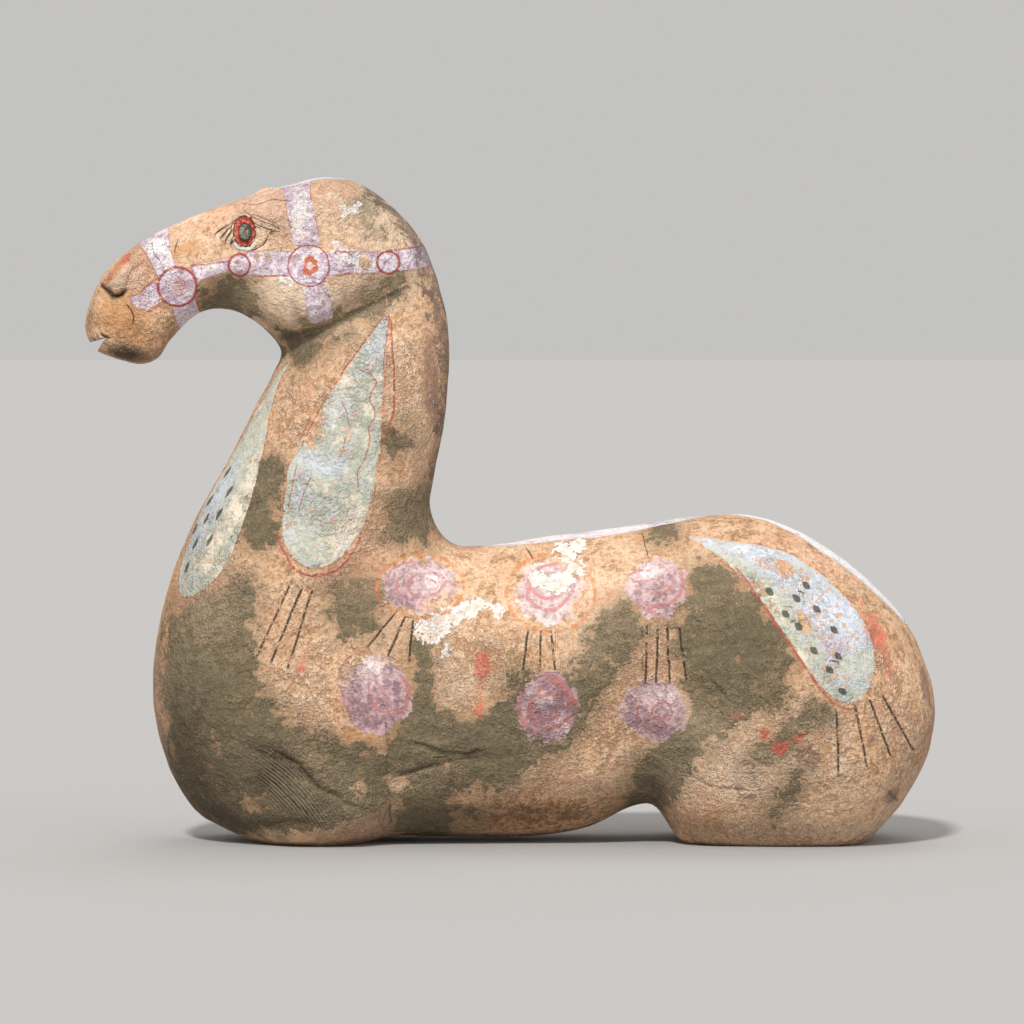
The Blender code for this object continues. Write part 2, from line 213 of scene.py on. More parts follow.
# Creases pressed or folded into the clay: their line in percent, half width, depth and side. A crease runs
# out over a fifth of its length at either end, down to a little of its depth.
CREASES = (
    ("upper lid", ((16.9, 94.4), (18.6, 95.2), (20.7, 93.9), (22.9, 92.2)), 1.5, 1.3, "both"),
    ("lower lid", ((17.2, 89.5), (18.8, 88.8), (20.8, 89.5), (22.2, 91.3)), 1.4, 0.9, "both"),
    ("nostril", ((2.0, 83.7), (3.0, 82.6), (3.5, 82.0), (4.4, 82.2), (4.9, 82.9)), 1.7, 4.2, "both"),
    ("behind the nostril", ((4.9, 83.0), (5.2, 84.5), (5.7, 86.0), (6.9, 87.2)), 1.7, 1.8, "both"),
    ("corner of the mouth", ((4.6, 81.2), (5.6, 79.5), (5.8, 77.6), (5.2, 76.2)), 1.4, 1.3, "both"),
    ("jaw fold", ((23.4, 73.8), (25.6, 75.8), (29.1, 77.4), (32.1, 79.2), (35.2, 81.4)), 3.2, 1.0, "both"),
    ("over the forearm", (
        (20.6, 15.2), (22.6, 14.2), (24.5, 12.9), (26.3, 11.0), (27.7, 9.0), (30.2, 7.8),
    ), 3.4, 4.2, "both"),
    ("behind the elbow", ((36.2, 9.6), (40.0, 11.9), (44.4, 13.1), (48.6, 13.6)), 2.8, 2.8, "left"),
    ("short fold", ((28.0, 16.6), (29.8, 15.2), (30.9, 12.4)), 2.2, 1.3, "left"),
    ("fetlock fold", ((27.4, 3.2), (27.8, 5.6), (29.2, 7.6)), 2.0, 2.2, "both"),
    ("over the hoof", ((20.6, 2.6), (22.4, 3.6), (24.8, 3.9), (27.4, 3.4)), 2.0, 2.6, "both"),
    ("front of the thigh", ((68.0, 6.4), (69.0, 3.4), (70.6, 0.4)), 2.2, 1.8, "both"),
    ("scraper slip on the haunch", ((73.6, 24.6), (75.8, 22.2), (77.6, 20.6)), 1.6, 1.2, "left"),
    ("elbow crack", ((35.7, 6.6), (35.5, 4.9), (35.9, 3.2)), 1.4, 1.6, "left"),
)
CREASE_LEAST = 0.15
# Between the folded legs the underside is drawn up into a cleft: the middle and half of its length and its
# height at the middle, in percent of the length. It fades out over a share of the figure's height.
CLEFTS = ((26.5, 12.5, 4.4), (80.5, 15.0, 5.6))
CLEFT_HALF_WIDTH = 2.6
CLEFT_FADE = 12.0

# The slit between the lips: the level of its inner end in percent; how far it runs in, how wide it gapes at
# the front, how far it drops towards the front, and its gap at the inner end, in metres.
MOUTH_LEVEL = 75.8
MOUTH_DEPTH = 0.0160
MOUTH_GAPE = 0.0173
MOUTH_RISE = 0.0136
MOUTH_INNER_GAP = 0.0012

EASING_ROUNDS = 3
RUMP_EASING_ROUNDS = 45
SEAT_HEIGHT = 12.0  # below this, in millimetres, lumps and waves fade out
CROWN_SHARE = 0.95  # above this share of the height, lumps rise in full whichever way the clay faces
SHARP_EDGE = math.radians(50.0)

# The uneven surface that hands leave: how long the waves are and how far they stand out, in millimetres.
HAND_WAVES = ((95.0, 1.5), (38.0, 0.8), (17.0, 0.45), (8.0, 0.20))


def placed(length_percent, height_percent):
    """The x and z of a place given in percent of the length and height."""
    x = (np.asarray(length_percent) / 100 - 0.5) * FIGURE_LENGTH
    return x, np.asarray(height_percent) / 100 * FIGURE_HEIGHT


def line_of(places):
    """A line or outline given in percent, as flat points in metres."""
    return np.stack(placed(*zip(*places)), axis=1)


def smooth_through(values, knots, at):
    """A Catmull-Rom curve through values at uneven knots, read at fractional indices."""
    spans = np.diff(knots)[:, None]
    slopes = np.diff(values, axis=0) / spans
    before, after = spans[:-1], spans[1:]
    inner = (slopes[:-1] * after + slopes[1:] * before) / (before + after)
    tangents = np.concatenate([slopes[:1], inner, slopes[-1:]])
    low = np.clip(np.floor(at).astype(int), 0, len(values) - 2)
    s = (at - low)[:, None]
    span = spans[low]
    return (
        values[low] * (2 * s**3 - 3 * s**2 + 1)
        + tangents[low] * span * (s**3 - 2 * s**2 + s)
        + values[low + 1] * (-2 * s**3 + 3 * s**2)
        + tangents[low + 1] * span * (s**3 - s**2)
    )


def rib_values(at):
    """The ribs' values at fractional rib numbers, one row each."""
    last = len(RIBS) - 1
    back = line_of([rib[1] for rib in RIBS])
    belly = line_of([rib[2] for rib in RIBS])
    outline = np.concatenate([belly[2:0:-1], back, belly[-2:0:-1], back[:3]])
    steps = np.linalg.norm(np.diff(outline, axis=0), axis=1) ** 0.5
    knots = np.concatenate([[0.0], np.cumsum(steps)])
    lead = 2  # outline points before the rump
    on_back = smooth_through(outline, knots, at + lead)
    on_belly = smooth_through(outline, knots, np.where(at > 0, 2 * last - at, 0) + lead)
    near_rump = at < 1
    on_belly[near_rump] = smooth_through(outline, knots, lead - at[near_rump])
    form = np.array([rib[3:] for rib in RIBS], float)
    form[:, 0] *= FIGURE_WIDTH / 200
    odd = np.array([-1.0, 1.0, 1.0])
    form = np.concatenate([form[1:2] * odd, form, form[-2:-1] * odd])
    steps = np.linalg.norm(np.diff((back + belly) / 2, axis=0), axis=1)
    steps = np.concatenate([steps[:1], steps, steps[-1:]])
    form = smooth_through(form, np.concatenate([[0.0], np.cumsum(steps)]), at + 1)
    return np.concatenate([on_back, on_belly, form], axis=1)


def ring_places():
    """Fractional rib numbers of the rings: evenly spaced along the outline, and closer on the head."""
    fine = np.linspace(0, len(RIBS) - 1, SPACING_SAMPLES)
    ribs = rib_values(fine)
    back_steps = np.linalg.norm(np.diff(ribs[:, BACK_X : BACK_Z + 1], axis=0), axis=1)
    belly_steps = np.linalg.norm(np.diff(ribs[:, BELLY_X : BELLY_Z + 1], axis=0), axis=1)
    steps = np.maximum(back_steps, belly_steps)
    on_head = np.clip((fine[1:] - FIRST_HEAD_RIB) / RIBS_TO_CLOSE_UP + 1, 0, 1)
    steps = steps * (1 + (HEAD_RING_DENSITY - 1) * on_head)
    along = np.concatenate([[0.0], np.cumsum(steps)])
    return np.interp(np.linspace(0, along[-1], RINGS_ALONG + 1), along, fine)


def surface_point(rib, angle):
    """A point of the tube at each rib, where angle 0 is on the back line and pi on the belly line."""
    power = 2 / rib[:, SQUARENESS]
    c, s = np.cos(angle), np.sin(angle)
    down = -np.sign(c) * np.abs(c) ** power
    across = np.sign(s) * np.abs(s) ** power * (1 + rib[:, FULLNESS] * down)
    share = (1 + down) / 2
    x = rib[:, BACK_X] * (1 - share) + rib[:, BELLY_X] * share
    z = rib[:, BACK_Z] * (1 - share) + rib[:, BELLY_Z] * share
    return np.stack([x, -rib[:, HALF_WIDTH] * across, z], axis=1)


def beside_line(flat, line):
    """How far flat points lie from a line of straight runs, on which side of it they are, the share of the
    line where the nearest place is, and how far they are past its ends."""
    best = np.full(len(flat), np.inf)
    side = np.ones(len(flat))
    share = np.zeros(len(flat))
    past = np.zeros(len(flat))
    for number, (start, end) in enumerate(zip(line[:-1], line[1:])):
        run = end - start
        length = np.linalg.norm(run)
        free = (flat - start) @ run / length**2
        t = np.clip(free, 0, 1)
        away = flat - start - t[:, None] * run
        distance = np.linalg.norm(away, axis=1)
        nearer = distance < best
        best[nearer] = distance[nearer]
        side[nearer] = np.where(run[0] * away[nearer, 1] - run[1] * away[nearer, 0] < 0, -1.0, 1.0)
        share[nearer] = ((number + t) / (len(line) - 1))[nearer]
        over = np.zeros(len(flat))
        if number == 0:
            over = np.maximum(over, -free * length)
        if number == len(line) - 2:
            over = np.maximum(over, (free - 1) * length)
        past[nearer] = over[nearer]
    return best, side, share, past


def oval(across, up, radii, tilt):
    """The square of the distance from a tilted oval's centre, where the oval itself is at 1."""
    c, s = math.cos(math.radians(tilt)), math.sin(math.radians(tilt))
    return ((across * c + up * s) / radii[0]) ** 2 + ((up * c - across * s) / radii[1]) ** 2


def broad_rise(points):
    """How far each point rises from the broad swells and the jaw fold."""
    rise = np.zeros(len(points))
    for _, centre, radii, tilt, height in SWELLS:
        x, z = placed(*centre)
        across = (points[:, 0] - x) / FIGURE_LENGTH * 100
        up = (points[:, 2] - z) / FIGURE_HEIGHT * 100
        rise += height * np.clip(1 - oval(across, up, radii, tilt), 0, None) ** 2
    nearest, _, share, _ = beside_line(points[:, [0, 2]], line_of(JAW_FOLD))
    depth = np.exp(-((nearest / (JAW_FOLD_HALF_WIDTH / 100 * FIGURE_LENGTH)) ** 2))
    rise -= JAW_FOLD_DEPTH * depth * np.clip(1 - share, 0, 1) ** 0.5
    return rise / 100 * FIGURE_LENGTH


def on_side(points, side):
    """1 where the side is the one meant and 0 where it isn't, with a soft change at the middle."""
    share = np.clip(points[:, 1] / (SIDE_BLEND * MM), -1, 1)
    top = np.clip(1 - np.abs(points[:, 1]) / (TOP_BAND * MM), 0, 1)
    return {"left": np.clip(-share, 0, 1), "right": np.clip(share, 0, 1), "both": 1.0, "top": top}[side]


def fine_rise(points):
    """How far each point rises from the lumps and creases."""
    flat = points[:, [0, 2]]
    rise = np.zeros(len(points))
    for _, centre, radii, tilt, height, side in LUMPS:
        x, z = placed(*centre)
        away = oval((flat[:, 0] - x) / MM, (flat[:, 1] - z) / MM, radii, tilt)
        rise += height * MM * np.clip(1 - away, 0, None) ** 2 * on_side(points, side)
    for _, places, half_width, depth, side in CREASES:
        nearest, _, share, _ = beside_line(flat, line_of(places))
        fade = np.clip(np.minimum(share, 1 - share) * 5, CREASE_LEAST, 1)
        rise -= depth * MM * fade * np.exp(-((nearest / (half_width * MM)) ** 2)) * on_side(points, side)
    return rise


def hand_rise(points):
    """The uneven surface that hands left in the clay, each size of wave from its own place in the noise."""
    rise = np.zeros(len(points))
    for number, (size, height) in enumerate(HAND_WAVES):
        offset = Vector((13.7 * number, 5.1, 2.9 * number))
        rise += height * MM * np.array([noise.noise(Vector(p) / (size * MM) + offset) for p in points])
    return rise


def cleft_lift(points):
    """How far the underside is drawn up between the folded legs."""
    lift = np.zeros(len(points))
    beside = np.exp(-((points[:, 1] / (CLEFT_HALF_WIDTH / 100 * FIGURE_LENGTH)) ** 2))
    low = np.clip(1 - points[:, 2] / (CLEFT_FADE / 100 * FIGURE_HEIGHT), 0, 1)
    for middle, half_length, height in CLEFTS:
        x = placed(middle, 0)[0]
        along = (points[:, 0] - x) / (half_length / 100 * FIGURE_LENGTH)
        lift += height * beside * low * np.clip(1 - along**2, 0, None)
    return lift / 100 * FIGURE_LENGTH


def points_of(mesh):
    flat = np.empty(len(mesh.vertices) * 3)
    mesh.vertices.foreach_get("co", flat)
    return flat.reshape(-1, 3)


def normals_of(mesh):
    flat = np.empty(len(mesh.vertices) * 3)
    mesh.vertex_normals.foreach_get("vector", flat)
    return flat.reshape(-1, 3)


def put_points(mesh, points):
    mesh.vertices.foreach_set("co", points.ravel())
    mesh.update()


def keep(name, values):
    """Stores a value, or a row of three, for each point of the clay."""
    kind, slot = ("FLOAT", "value") if values.ndim == 1 else ("FLOAT_VECTOR", "vector")
    clay_mesh.attributes.new(name, kind, "POINT").data.foreach_set(slot, values.astype(np.float32).ravel())


def eased(grid, rounds):
    """The rings drawn towards their neighbours, again and again, which takes out what the ribs leave. The
    ends are the sphere's poles, and past a pole the tube goes on as its own other side."""
    half = POINTS_AROUND // 2
    for _ in range(rounds):
        past_first = np.roll(grid[1:2], half, axis=1)
        past_last = np.roll(grid[-2:-1], half, axis=1)
        longer = np.concatenate([past_first, grid, past_last])
        grid = grid / 2 + (longer[:-2] + longer[2:]) / 4
    return grid


bpy.ops.object.select_all(action="DESELECT")
bpy.ops.mesh.primitive_uv_sphere_add(segments=POINTS_AROUND, ring_count=RINGS_ALONG, radius=1.0)
horse = bpy.context.object
horse.name = "painted_horse"
clay_mesh = horse.data
clay_mesh.name = "painted_horse"

sphere = points_of(clay_mesh)
height_on_sphere = np.clip(sphere[:, 2] / np.linalg.norm(sphere, axis=1), -1, 1)
ring = np.rint(np.arccos(height_on_sphere) / math.pi * RINGS_ALONG).astype(int)
angle = np.arctan2(sphere[:, 1], sphere[:, 0])
angle = np.where(angle < -math.pi + 1e-4, math.pi, angle)
points = surface_point(rib_values(ring_places())[ring], angle)
by_ring = np.lexsort((angle, ring))
rows = by_ring[1:-1].reshape(RINGS_ALONG - 1, POINTS_AROUND)
grid = np.concatenate([
    np.repeat(points[by_ring[:1]][None], POINTS_AROUND, axis=1),
    points[rows],
    np.repeat(points[by_ring[-1:]][None], POINTS_AROUND, axis=1),
])
on_rump = np.clip(1 - np.arange(RINGS_ALONG + 1) / RUMP_RINGS, 0, 1)[:, None, None]
grid = eased(grid, EASING_ROUNDS) * (1 - on_rump) + eased(grid, RUMP_EASING_ROUNDS) * on_rump
points[rows] = grid[1:-1]
points[by_ring[0]] = grid[0].mean(axis=0)
points[by_ring[-1]] = grid[-1].mean(axis=0)
put_points(clay_mesh, points)
normals = normals_of(clay_mesh)
facing = np.abs(normals[:, 1])
points += normals * (broad_rise(points) * facing * (2 - facing))[:, None]
put_points(clay_mesh, points)
normals = normals_of(clay_mesh)
facing = np.abs(normals[:, 1])
seated = np.clip(points[:, 2] / (SEAT_HEIGHT * MM), 0, 1)
sideways = np.where(points[:, 2] > FIGURE_HEIGHT * CROWN_SHARE, 1, facing * (2 - facing))
points += normals * ((fine_rise(points) * sideways + hand_rise(points)) * seated)[:, None]
points[:, 2] += cleft_lift(points)
put_points(clay_mesh, points)

# How far round its ring each point lies from the back line and from the belly line: the paint on the mane
# and the breast follows these.
steps = np.linalg.norm(np.roll(points[rows], -1, axis=1) - points[rows], axis=2)
along_ring = np.concatenate([np.zeros((len(rows), 1)), np.cumsum(steps[:, :-1], axis=1)], axis=1)
back_place = along_ring[:, np.argmin(np.abs(angle[rows[0]]))][:, None]
from_back = np.zeros(len(points))
from_belly = np.zeros(len(points))
from_back[rows] = np.abs(along_ring - back_place)
from_belly[rows] = np.minimum(along_ring[:, -1:] - along_ring, along_ring + steps[:, -1:])
tree = kdtree.KDTree(len(points))
for number, point in enumerate(points):
    tree.insert(point, number)
tree.balance()

# The underside is cut off flat at the ground, and the slit between the lips is cut in with a wedge.
bpy.ops.object.mode_set(mode="EDIT")
bpy.ops.mesh.select_all(action="SELECT")
bpy.ops.mesh.bisect(plane_co=(0, 0, 0), plane_no=(0, 0, 1), use_fill=True, clear_inner=True, threshold=1e-6)
bpy.ops.object.mode_set(mode="OBJECT")

lips_x, inner_z = placed(0, MOUTH_LEVEL)
lengths_out = 2.0  # the wedge starts as far before the lips as the slit runs in behind them
front_z = inner_z - MOUTH_RISE * lengths_out
bpy.ops.object.select_all(action="DESELECT")
bpy.ops.mesh.primitive_cube_add(size=1.0)
wedge = bpy.context.object
for corner in wedge.data.vertices:
    inner = corner.co.x > 0
    gap = MOUTH_INNER_GAP if inner else MOUTH_GAPE * lengths_out
    middle = inner_z if inner else front_z
    x = lips_x + MOUTH_DEPTH if inner else lips_x - MOUTH_DEPTH
    corner.co = (x, corner.co.y * FIGURE_WIDTH, middle + math.copysign(gap / 2, corner.co.z))
bpy.context.view_layer.objects.active = horse
slit = horse.modifiers.new("mouth", "BOOLEAN")
slit.operation = "DIFFERENCE"
slit.solver = "EXACT"
slit.object = wedge
bpy.ops.object.modifier_apply(modifier=slit.name)
bpy.data.objects.remove(wedge)
horse.select_set(True)
bpy.ops.object.shade_smooth_by_angle(angle=SHARP_EDGE)

points = points_of(clay_mesh)
nearest = np.array([tree.find(point)[1] for point in points])
from_back = from_back[nearest] / MM
from_belly = from_belly[nearest] / MM

# The painting, laid out in percent of the length and height as seen from the side; both sides carry the
# same design. The breast leaf is the exception: it is laid out by millimetres round from the breast line and
# by percent of the height.
LEAVES = {
    "neck leaf": (
        (35.5, 80.0), (33.8, 77.0), (30.9, 71.7), (29.2, 68.4), (27.3, 66.3), (26.2, 62.3), (24.9, 59.3),
        (24.0, 56.5), (23.6, 52.1), (23.2, 47.2), (23.6, 45.0), (25.2, 42.4), (27.1, 41.5), (29.2, 42.1),
        (31.2, 44.5), (32.4, 46.8), (33.6, 50.6), (34.3, 55.0), (34.8, 59.3), (34.9, 65.3), (35.3, 71.1),
        (35.6, 77.0),
    ),
    "haunch leaf": (
        (69.4, 46.6), (72.4, 46.0), (75.8, 45.6), (80.4, 44.6), (83.6, 42.9), (86.3, 40.3), (89.4, 36.6),
        (91.4, 32.4), (92.1, 28.6), (91.9, 25.6), (90.6, 22.4), (88.4, 21.6), (86.2, 23.2), (84.4, 26.4),
        (82.4, 30.0), (80.5, 33.8), (78.4, 37.4), (76.2, 40.8), (73.9, 43.4), (71.6, 45.2),
    ),
}
BREAST_LEAF = (
    (21, 73.5), (27, 71.0), (37, 67.0), (54, 62.2), (71, 58.0), (87, 54.0), (96, 50.5), (103, 45.3),
    (101, 41.8), (86, 38.6), (64, 37.0), (46, 37.2), (32, 39.6), (20, 45.6), (14, 51.5), (13, 57.0),
    (17, 63.0), (19, 69.0),
)
# The middles of the dark spots on the leaves.
LEAF_SPOTS = (
    (79.8, 38.2), (81.6, 34.9), (83.1, 33.1), (86.6, 26.8), (88.1, 23.6), (84.1, 39.0), (85.2, 35.6),
    (87.2, 32.6), (82.9, 37.2), (84.8, 29.6), (87.6, 28.8),
)
BREAST_SPOTS = (
    (53, 52.8), (57, 49.5), (62, 45.6), (38, 48.7), (39, 45.0), (43, 41.4), (26, 55.6), (24, 51.4),
    (22, 47.0),
)
SPOT_LEAN = math.radians(48.0)  # the spots on the haunch leaf lean with it
SPOT_REACH = 7.0
SPOT_FADE = 2.0
BREAST_SPOT_SHRINK = 0.75  # what a breast spot's distances are taken times, which draws it a third larger
BREAST_MARGIN = 8.0  # losses and tints of the breast leaf reach this far round it
# Body roundels: centre; radii in millimetres; and how much of the orange ring is left, how far out it runs,
# in the roundel's radii, and how pale the disc is.
BODY_ROUNDELS = (
    ("upper front", (39.4, 38.8), (28.5, 20.0), (1.0, 1.14, 0.45)),
    ("upper middle", (54.5, 37.8), (26.0, 22.0), (1.0, 1.27, 0.60)),
    ("upper rear", (66.8, 38.6), (23.0, 21.5), (0.0, 1.25, 0.41)),
    ("lower front", (34.3, 22.9), (26.0, 29.0), (0.1, 1.1, 0.24)),
    ("lower middle", (54.1, 21.0), (22.5, 26.0), (0.0, 1.2, 0.19)),
    ("lower rear", (66.4, 20.6), (25.0, 22.5), (0.0, 1.2, 0.29)),
)
ROUNDEL_REACH = 1.5  # how far out a roundel is drawn, in its radii
ROUNDEL_FADE = 0.12
# Curls brushed over the roundels: the line and half its width in millimetres.
CURLS = (
    (((38.5, 42.4), (37.3, 42.3), (36.1, 41.4), (35.6, 40.3), (35.3, 38.8)), 0.8),
    (((37.3, 37.5), (36.8, 38.1), (36.6, 39.0), (36.8, 40.0)), 0.8),
    (((38.8, 40.5), (38.1, 39.9), (37.9, 39.0), (38.2, 38.0), (39.0, 37.2), (40.0, 37.2)), 1.0),
    (((40.5, 37.5), (41.2, 37.8), (41.9, 38.5), (42.3, 39.6), (41.7, 40.5), (40.8, 40.8)), 1.1),
    (((39.1, 39.7), (39.8, 40.0), (40.8, 39.7), (41.2, 39.3)), 0.8),
    (((55.9, 41.8), (55.0, 42.0), (53.8, 41.8), (52.7, 41.2), (52.2, 40.3), (51.8, 39.3)), 1.1),
    ((
        (57.2, 38.5), (56.8, 37.8), (56.1, 36.6), (55.0, 35.3), (53.8, 35.4), (52.7, 36.0), (51.8, 37.2),
        (51.7, 38.7),
    ), 1.4),
    (((52.2, 38.8), (52.7, 37.8), (53.6, 37.1), (54.7, 37.1), (55.9, 37.8)), 1.5),
    (((54.6, 39.6), (55.4, 39.7), (55.9, 39.3), (55.4, 38.7)), 1.1),
    (((69.6, 40.6), (69.8, 39.1), (69.4, 37.7), (68.5, 36.6), (67.1, 36.0), (65.9, 36.0)), 1.4),
    (((66.4, 37.8), (67.3, 37.8), (68.2, 38.4), (68.7, 39.4), (68.4, 40.6)), 1.1),
    (((63.6, 40.6), (64.8, 41.2), (65.9, 41.2)), 1.0),
    (((66.4, 40.0), (65.2, 39.6), (63.9, 39.7)), 1.0),
    (((64.6, 36.5), (65.2, 35.6), (66.4, 35.0)), 1.1),
    (((30.0, 24.5), (30.5, 23.0), (30.7, 21.5), (31.2, 20.0), (31.6, 19.1)), 1.0),
    (((36.5, 20.0), (37.3, 20.6), (37.9, 21.8), (38.1, 23.3), (37.9, 24.5), (37.2, 25.7)), 1.6),
    (((36.7, 21.2), (35.8, 20.3), (34.6, 20.6), (33.7, 21.8), (33.4, 23.6), (33.5, 24.8)), 0.9),
    (((34.8, 21.8), (35.4, 22.0), (35.6, 22.8), (35.0, 23.3), (34.5, 23.0)), 0.9),
    (((30.2, 26.8), (30.7, 28.0), (31.9, 29.1), (33.3, 29.5)), 0.7),
    ((
        (54.6, 23.1), (53.9, 23.0), (53.0, 22.3), (52.7, 21.1), (53.0, 19.6), (54.0, 19.0), (55.1, 19.4),
        (55.7, 20.8), (55.4, 22.4), (54.8, 23.0),
    ), 1.3),
    ((
        (54.2, 25.0), (55.1, 24.5), (56.2, 23.3), (56.7, 21.5), (56.5, 19.7), (55.5, 18.3), (54.2, 17.8),
        (52.8, 18.4), (52.0, 19.7), (52.0, 21.5), (52.8, 23.0), (53.6, 24.2),
    ), 1.5),
    ((
        (56.7, 18.6), (57.3, 19.7), (57.4, 21.5), (56.9, 23.3), (55.8, 25.1), (54.4, 25.9), (53.0, 25.5),
        (51.6, 24.5), (51.0, 22.7), (50.9, 21.0), (50.9, 19.7), (51.4, 18.3), (52.5, 17.1),
    ), 1.2),
    (((66.3, 21.2), (66.1, 20.2), (66.5, 19.4), (67.3, 19.3), (67.9, 20.0)), 0.9),
    (((66.9, 21.8), (67.7, 22.1), (68.4, 21.2), (68.5, 20.0), (67.9, 18.9)), 0.7),
    (((64.9, 22.0), (64.4, 20.5), (64.9, 18.7), (66.3, 17.8), (67.7, 17.8)), 0.7),
)
# Where the roundels are whiter (above nothing) or darker and more violet (below it), and where lilac shows
# in the blue of the haunch leaf.
DISC_TINTS = (
    ((37.1, 38.5), (12.0, 14.0), 0, -0.2),
    ((40.8, 39.6), (10.0, 8.0), 0, 0.5),
    ((65.4, 40.8), (10.0, 6.0), 20, 0.5),
    ((67.6, 38.3), (9.0, 10.0), 0, -0.15),
    ((33.7, 26.8), (11.0, 10.0), 0, 0.6),
    ((31.9, 21.5), (12.0, 14.0), 0, -0.1),
    ((34.6, 19.1), (16.0, 9.0), 0, -0.12),
    ((51.6, 24.6), (7.0, 7.0), 0, 0.6),
    ((53.3, 22.3), (6.0, 6.0), 0, 0.6),
    ((56.2, 18.6), (8.0, 8.0), 0, 0.4),
    ((67.0, 23.4), (14.0, 8.0), 0, 0.35),
    ((66.7, 18.1), (14.0, 7.0), 0, -0.3),
    ((87.4, 30.2), (15.0, 13.0), 30, 1.0),
    ((84.6, 37.0), (16.0, 5.0), -50, 0.6),
)
# Roundels on the bridle: centre, radius in millimetres, how much orange is left in the middle, and half the
# width of the red line round them.
BRIDLE_ROUNDELS = (
    ("cheek ring at the noseband", (11.0, 83.5), 15.5, 0.35, 1.0),
    ("ring below the eye", (18.3, 86.7), 8.6, 0.0, 0.9),
    ("great ring of the cheek", (26.4, 86.6), 16.5, 1.0, 0.5),
    ("ring of the nape strap", (35.6, 87.1), 8.8, 0.0, 0.9),
)
RING_REACH = 1.4  # the same for a roundel on the bridle
# The straps of the bridle, by their outlines.
STRAPS = (
    ("noseband", (
        (6.0, 92.0), (6.8, 89.2), (7.5, 87.9), (8.8, 84.6), (11.0, 86.4), (10.1, 89.0), (9.6, 94.0),
    )),
    ("chin strap", ((10.3, 80.6), (11.3, 75.5), (14.5, 77.0), (13.4, 79.9), (13.0, 82.2))),
    ("bit strap", (
        (9.0, 84.6), (7.7, 83.8), (6.8, 82.5), (5.4, 82.1), (5.9, 80.5), (7.4, 79.8), (9.4, 81.2),
    )),
    ("cheek strap", ((12.4, 86.7), (15.3, 87.4), (17.0, 87.8), (17.0, 85.7), (13.4, 84.2))),
    ("strap below the eye", ((19.0, 88.7), (24.4, 88.8), (24.6, 85.0), (19.0, 85.2))),
    ("brow strap", ((23.0, 99.8), (23.5, 96.9), (24.6, 89.6), (27.9, 89.8), (26.6, 96.8), (26.4, 101.0))),
    ("throat strap", ((25.4, 83.8), (25.7, 82.6), (26.6, 77.6), (29.4, 78.9), (28.5, 83.8))),
    ("strap behind the ring", ((28.2, 88.7), (34.8, 88.7), (34.6, 85.5), (28.8, 85.1))),
    ("nape strap", ((36.0, 88.9), (39.6, 89.8), (43.0, 91.0), (43.0, 87.2), (40.2, 86.4), (36.6, 85.7))),
)
# Hand-drawn strokes: the line, and half its width in millimetres. The red ones are veins and edges of the
# leaves and straps; the black ones are marks over the roundels, the mouth corner, the eyelids and the nose.
RED_STROKES = (
    (((35.2, 79.2), (33.4, 76.2), (30.7, 71.5), (28.6, 67.4), (26.6, 62.6), (25.6, 59.8)), 0.45),
    ((
        (23.0, 46.4), (23.4, 44.5), (24.6, 41.8), (25.8, 40.8), (27.5, 40.5), (29.6, 41.2), (31.0, 42.8),
    ), 0.95),
    (((31.0, 42.8), (32.2, 45.3), (32.6, 47.0)), 0.5),
    (((35.9, 78.5), (36.1, 74.0), (36.3, 70.6), (36.3, 65.2), (35.4, 61.1)), 0.75),
    (((35.7, 79.4), (35.3, 75.0), (35.0, 71.4)), 0.4),
    ((
        (32.3, 71.1), (33.6, 70.4), (34.3, 69.2), (33.6, 67.6), (33.4, 66.4), (34.1, 65.2), (34.0, 63.8),
    ), 0.5),
    ((
        (34.0, 63.8), (33.3, 62.6), (33.5, 60.9), (33.3, 59.2), (32.9, 57.7), (32.1, 56.0), (32.2, 53.6),
    ), 0.5),
    (((30.3, 66.4), (30.9, 64.6), (31.2, 62.6), (30.6, 60.6), (30.4, 59.0)), 0.4),
    (((25.0, 56.8), (24.5, 53.6), (24.1, 50.4)), 0.45),
    (((26.8, 55.6), (25.9, 52.6), (25.2, 49.8)), 0.35),
    ((
        (76.0, 41.6), (77.5, 39.2), (79.4, 35.6), (81.4, 31.6), (83.6, 27.6), (85.4, 24.0), (86.9, 21.9),
    ), 0.85),
    (((86.9, 21.9), (88.4, 21.0), (89.6, 21.0)), 0.6),
    (((18.3, 96.0), (20.2, 95.7), (22.2, 96.6), (24.2, 96.2)), 0.4),
    (((12.4, 86.6), (14.4, 86.8), (17.0, 87.3)), 0.75),
    (((20.1, 85.2), (21.8, 85.0), (23.7, 85.2)), 0.6),
    (((29.6, 88.8), (31.2, 88.5)), 0.8),
    (((29.5, 85.2), (32.1, 85.6)), 0.7),
    (((35.6, 88.9), (37.6, 89.1), (39.8, 89.7)), 0.6),
    (((9.3, 81.5), (8.6, 80.5), (7.6, 79.7)), 0.55),
    (((8.8, 84.8), (7.6, 83.8), (6.4, 82.2), (5.7, 82.1)), 0.6),
    (((12.9, 82.4), (13.4, 80.4), (13.6, 79.2)), 0.5),
    (((35.4, 84.0), (35.6, 80.8)), 0.3),
)
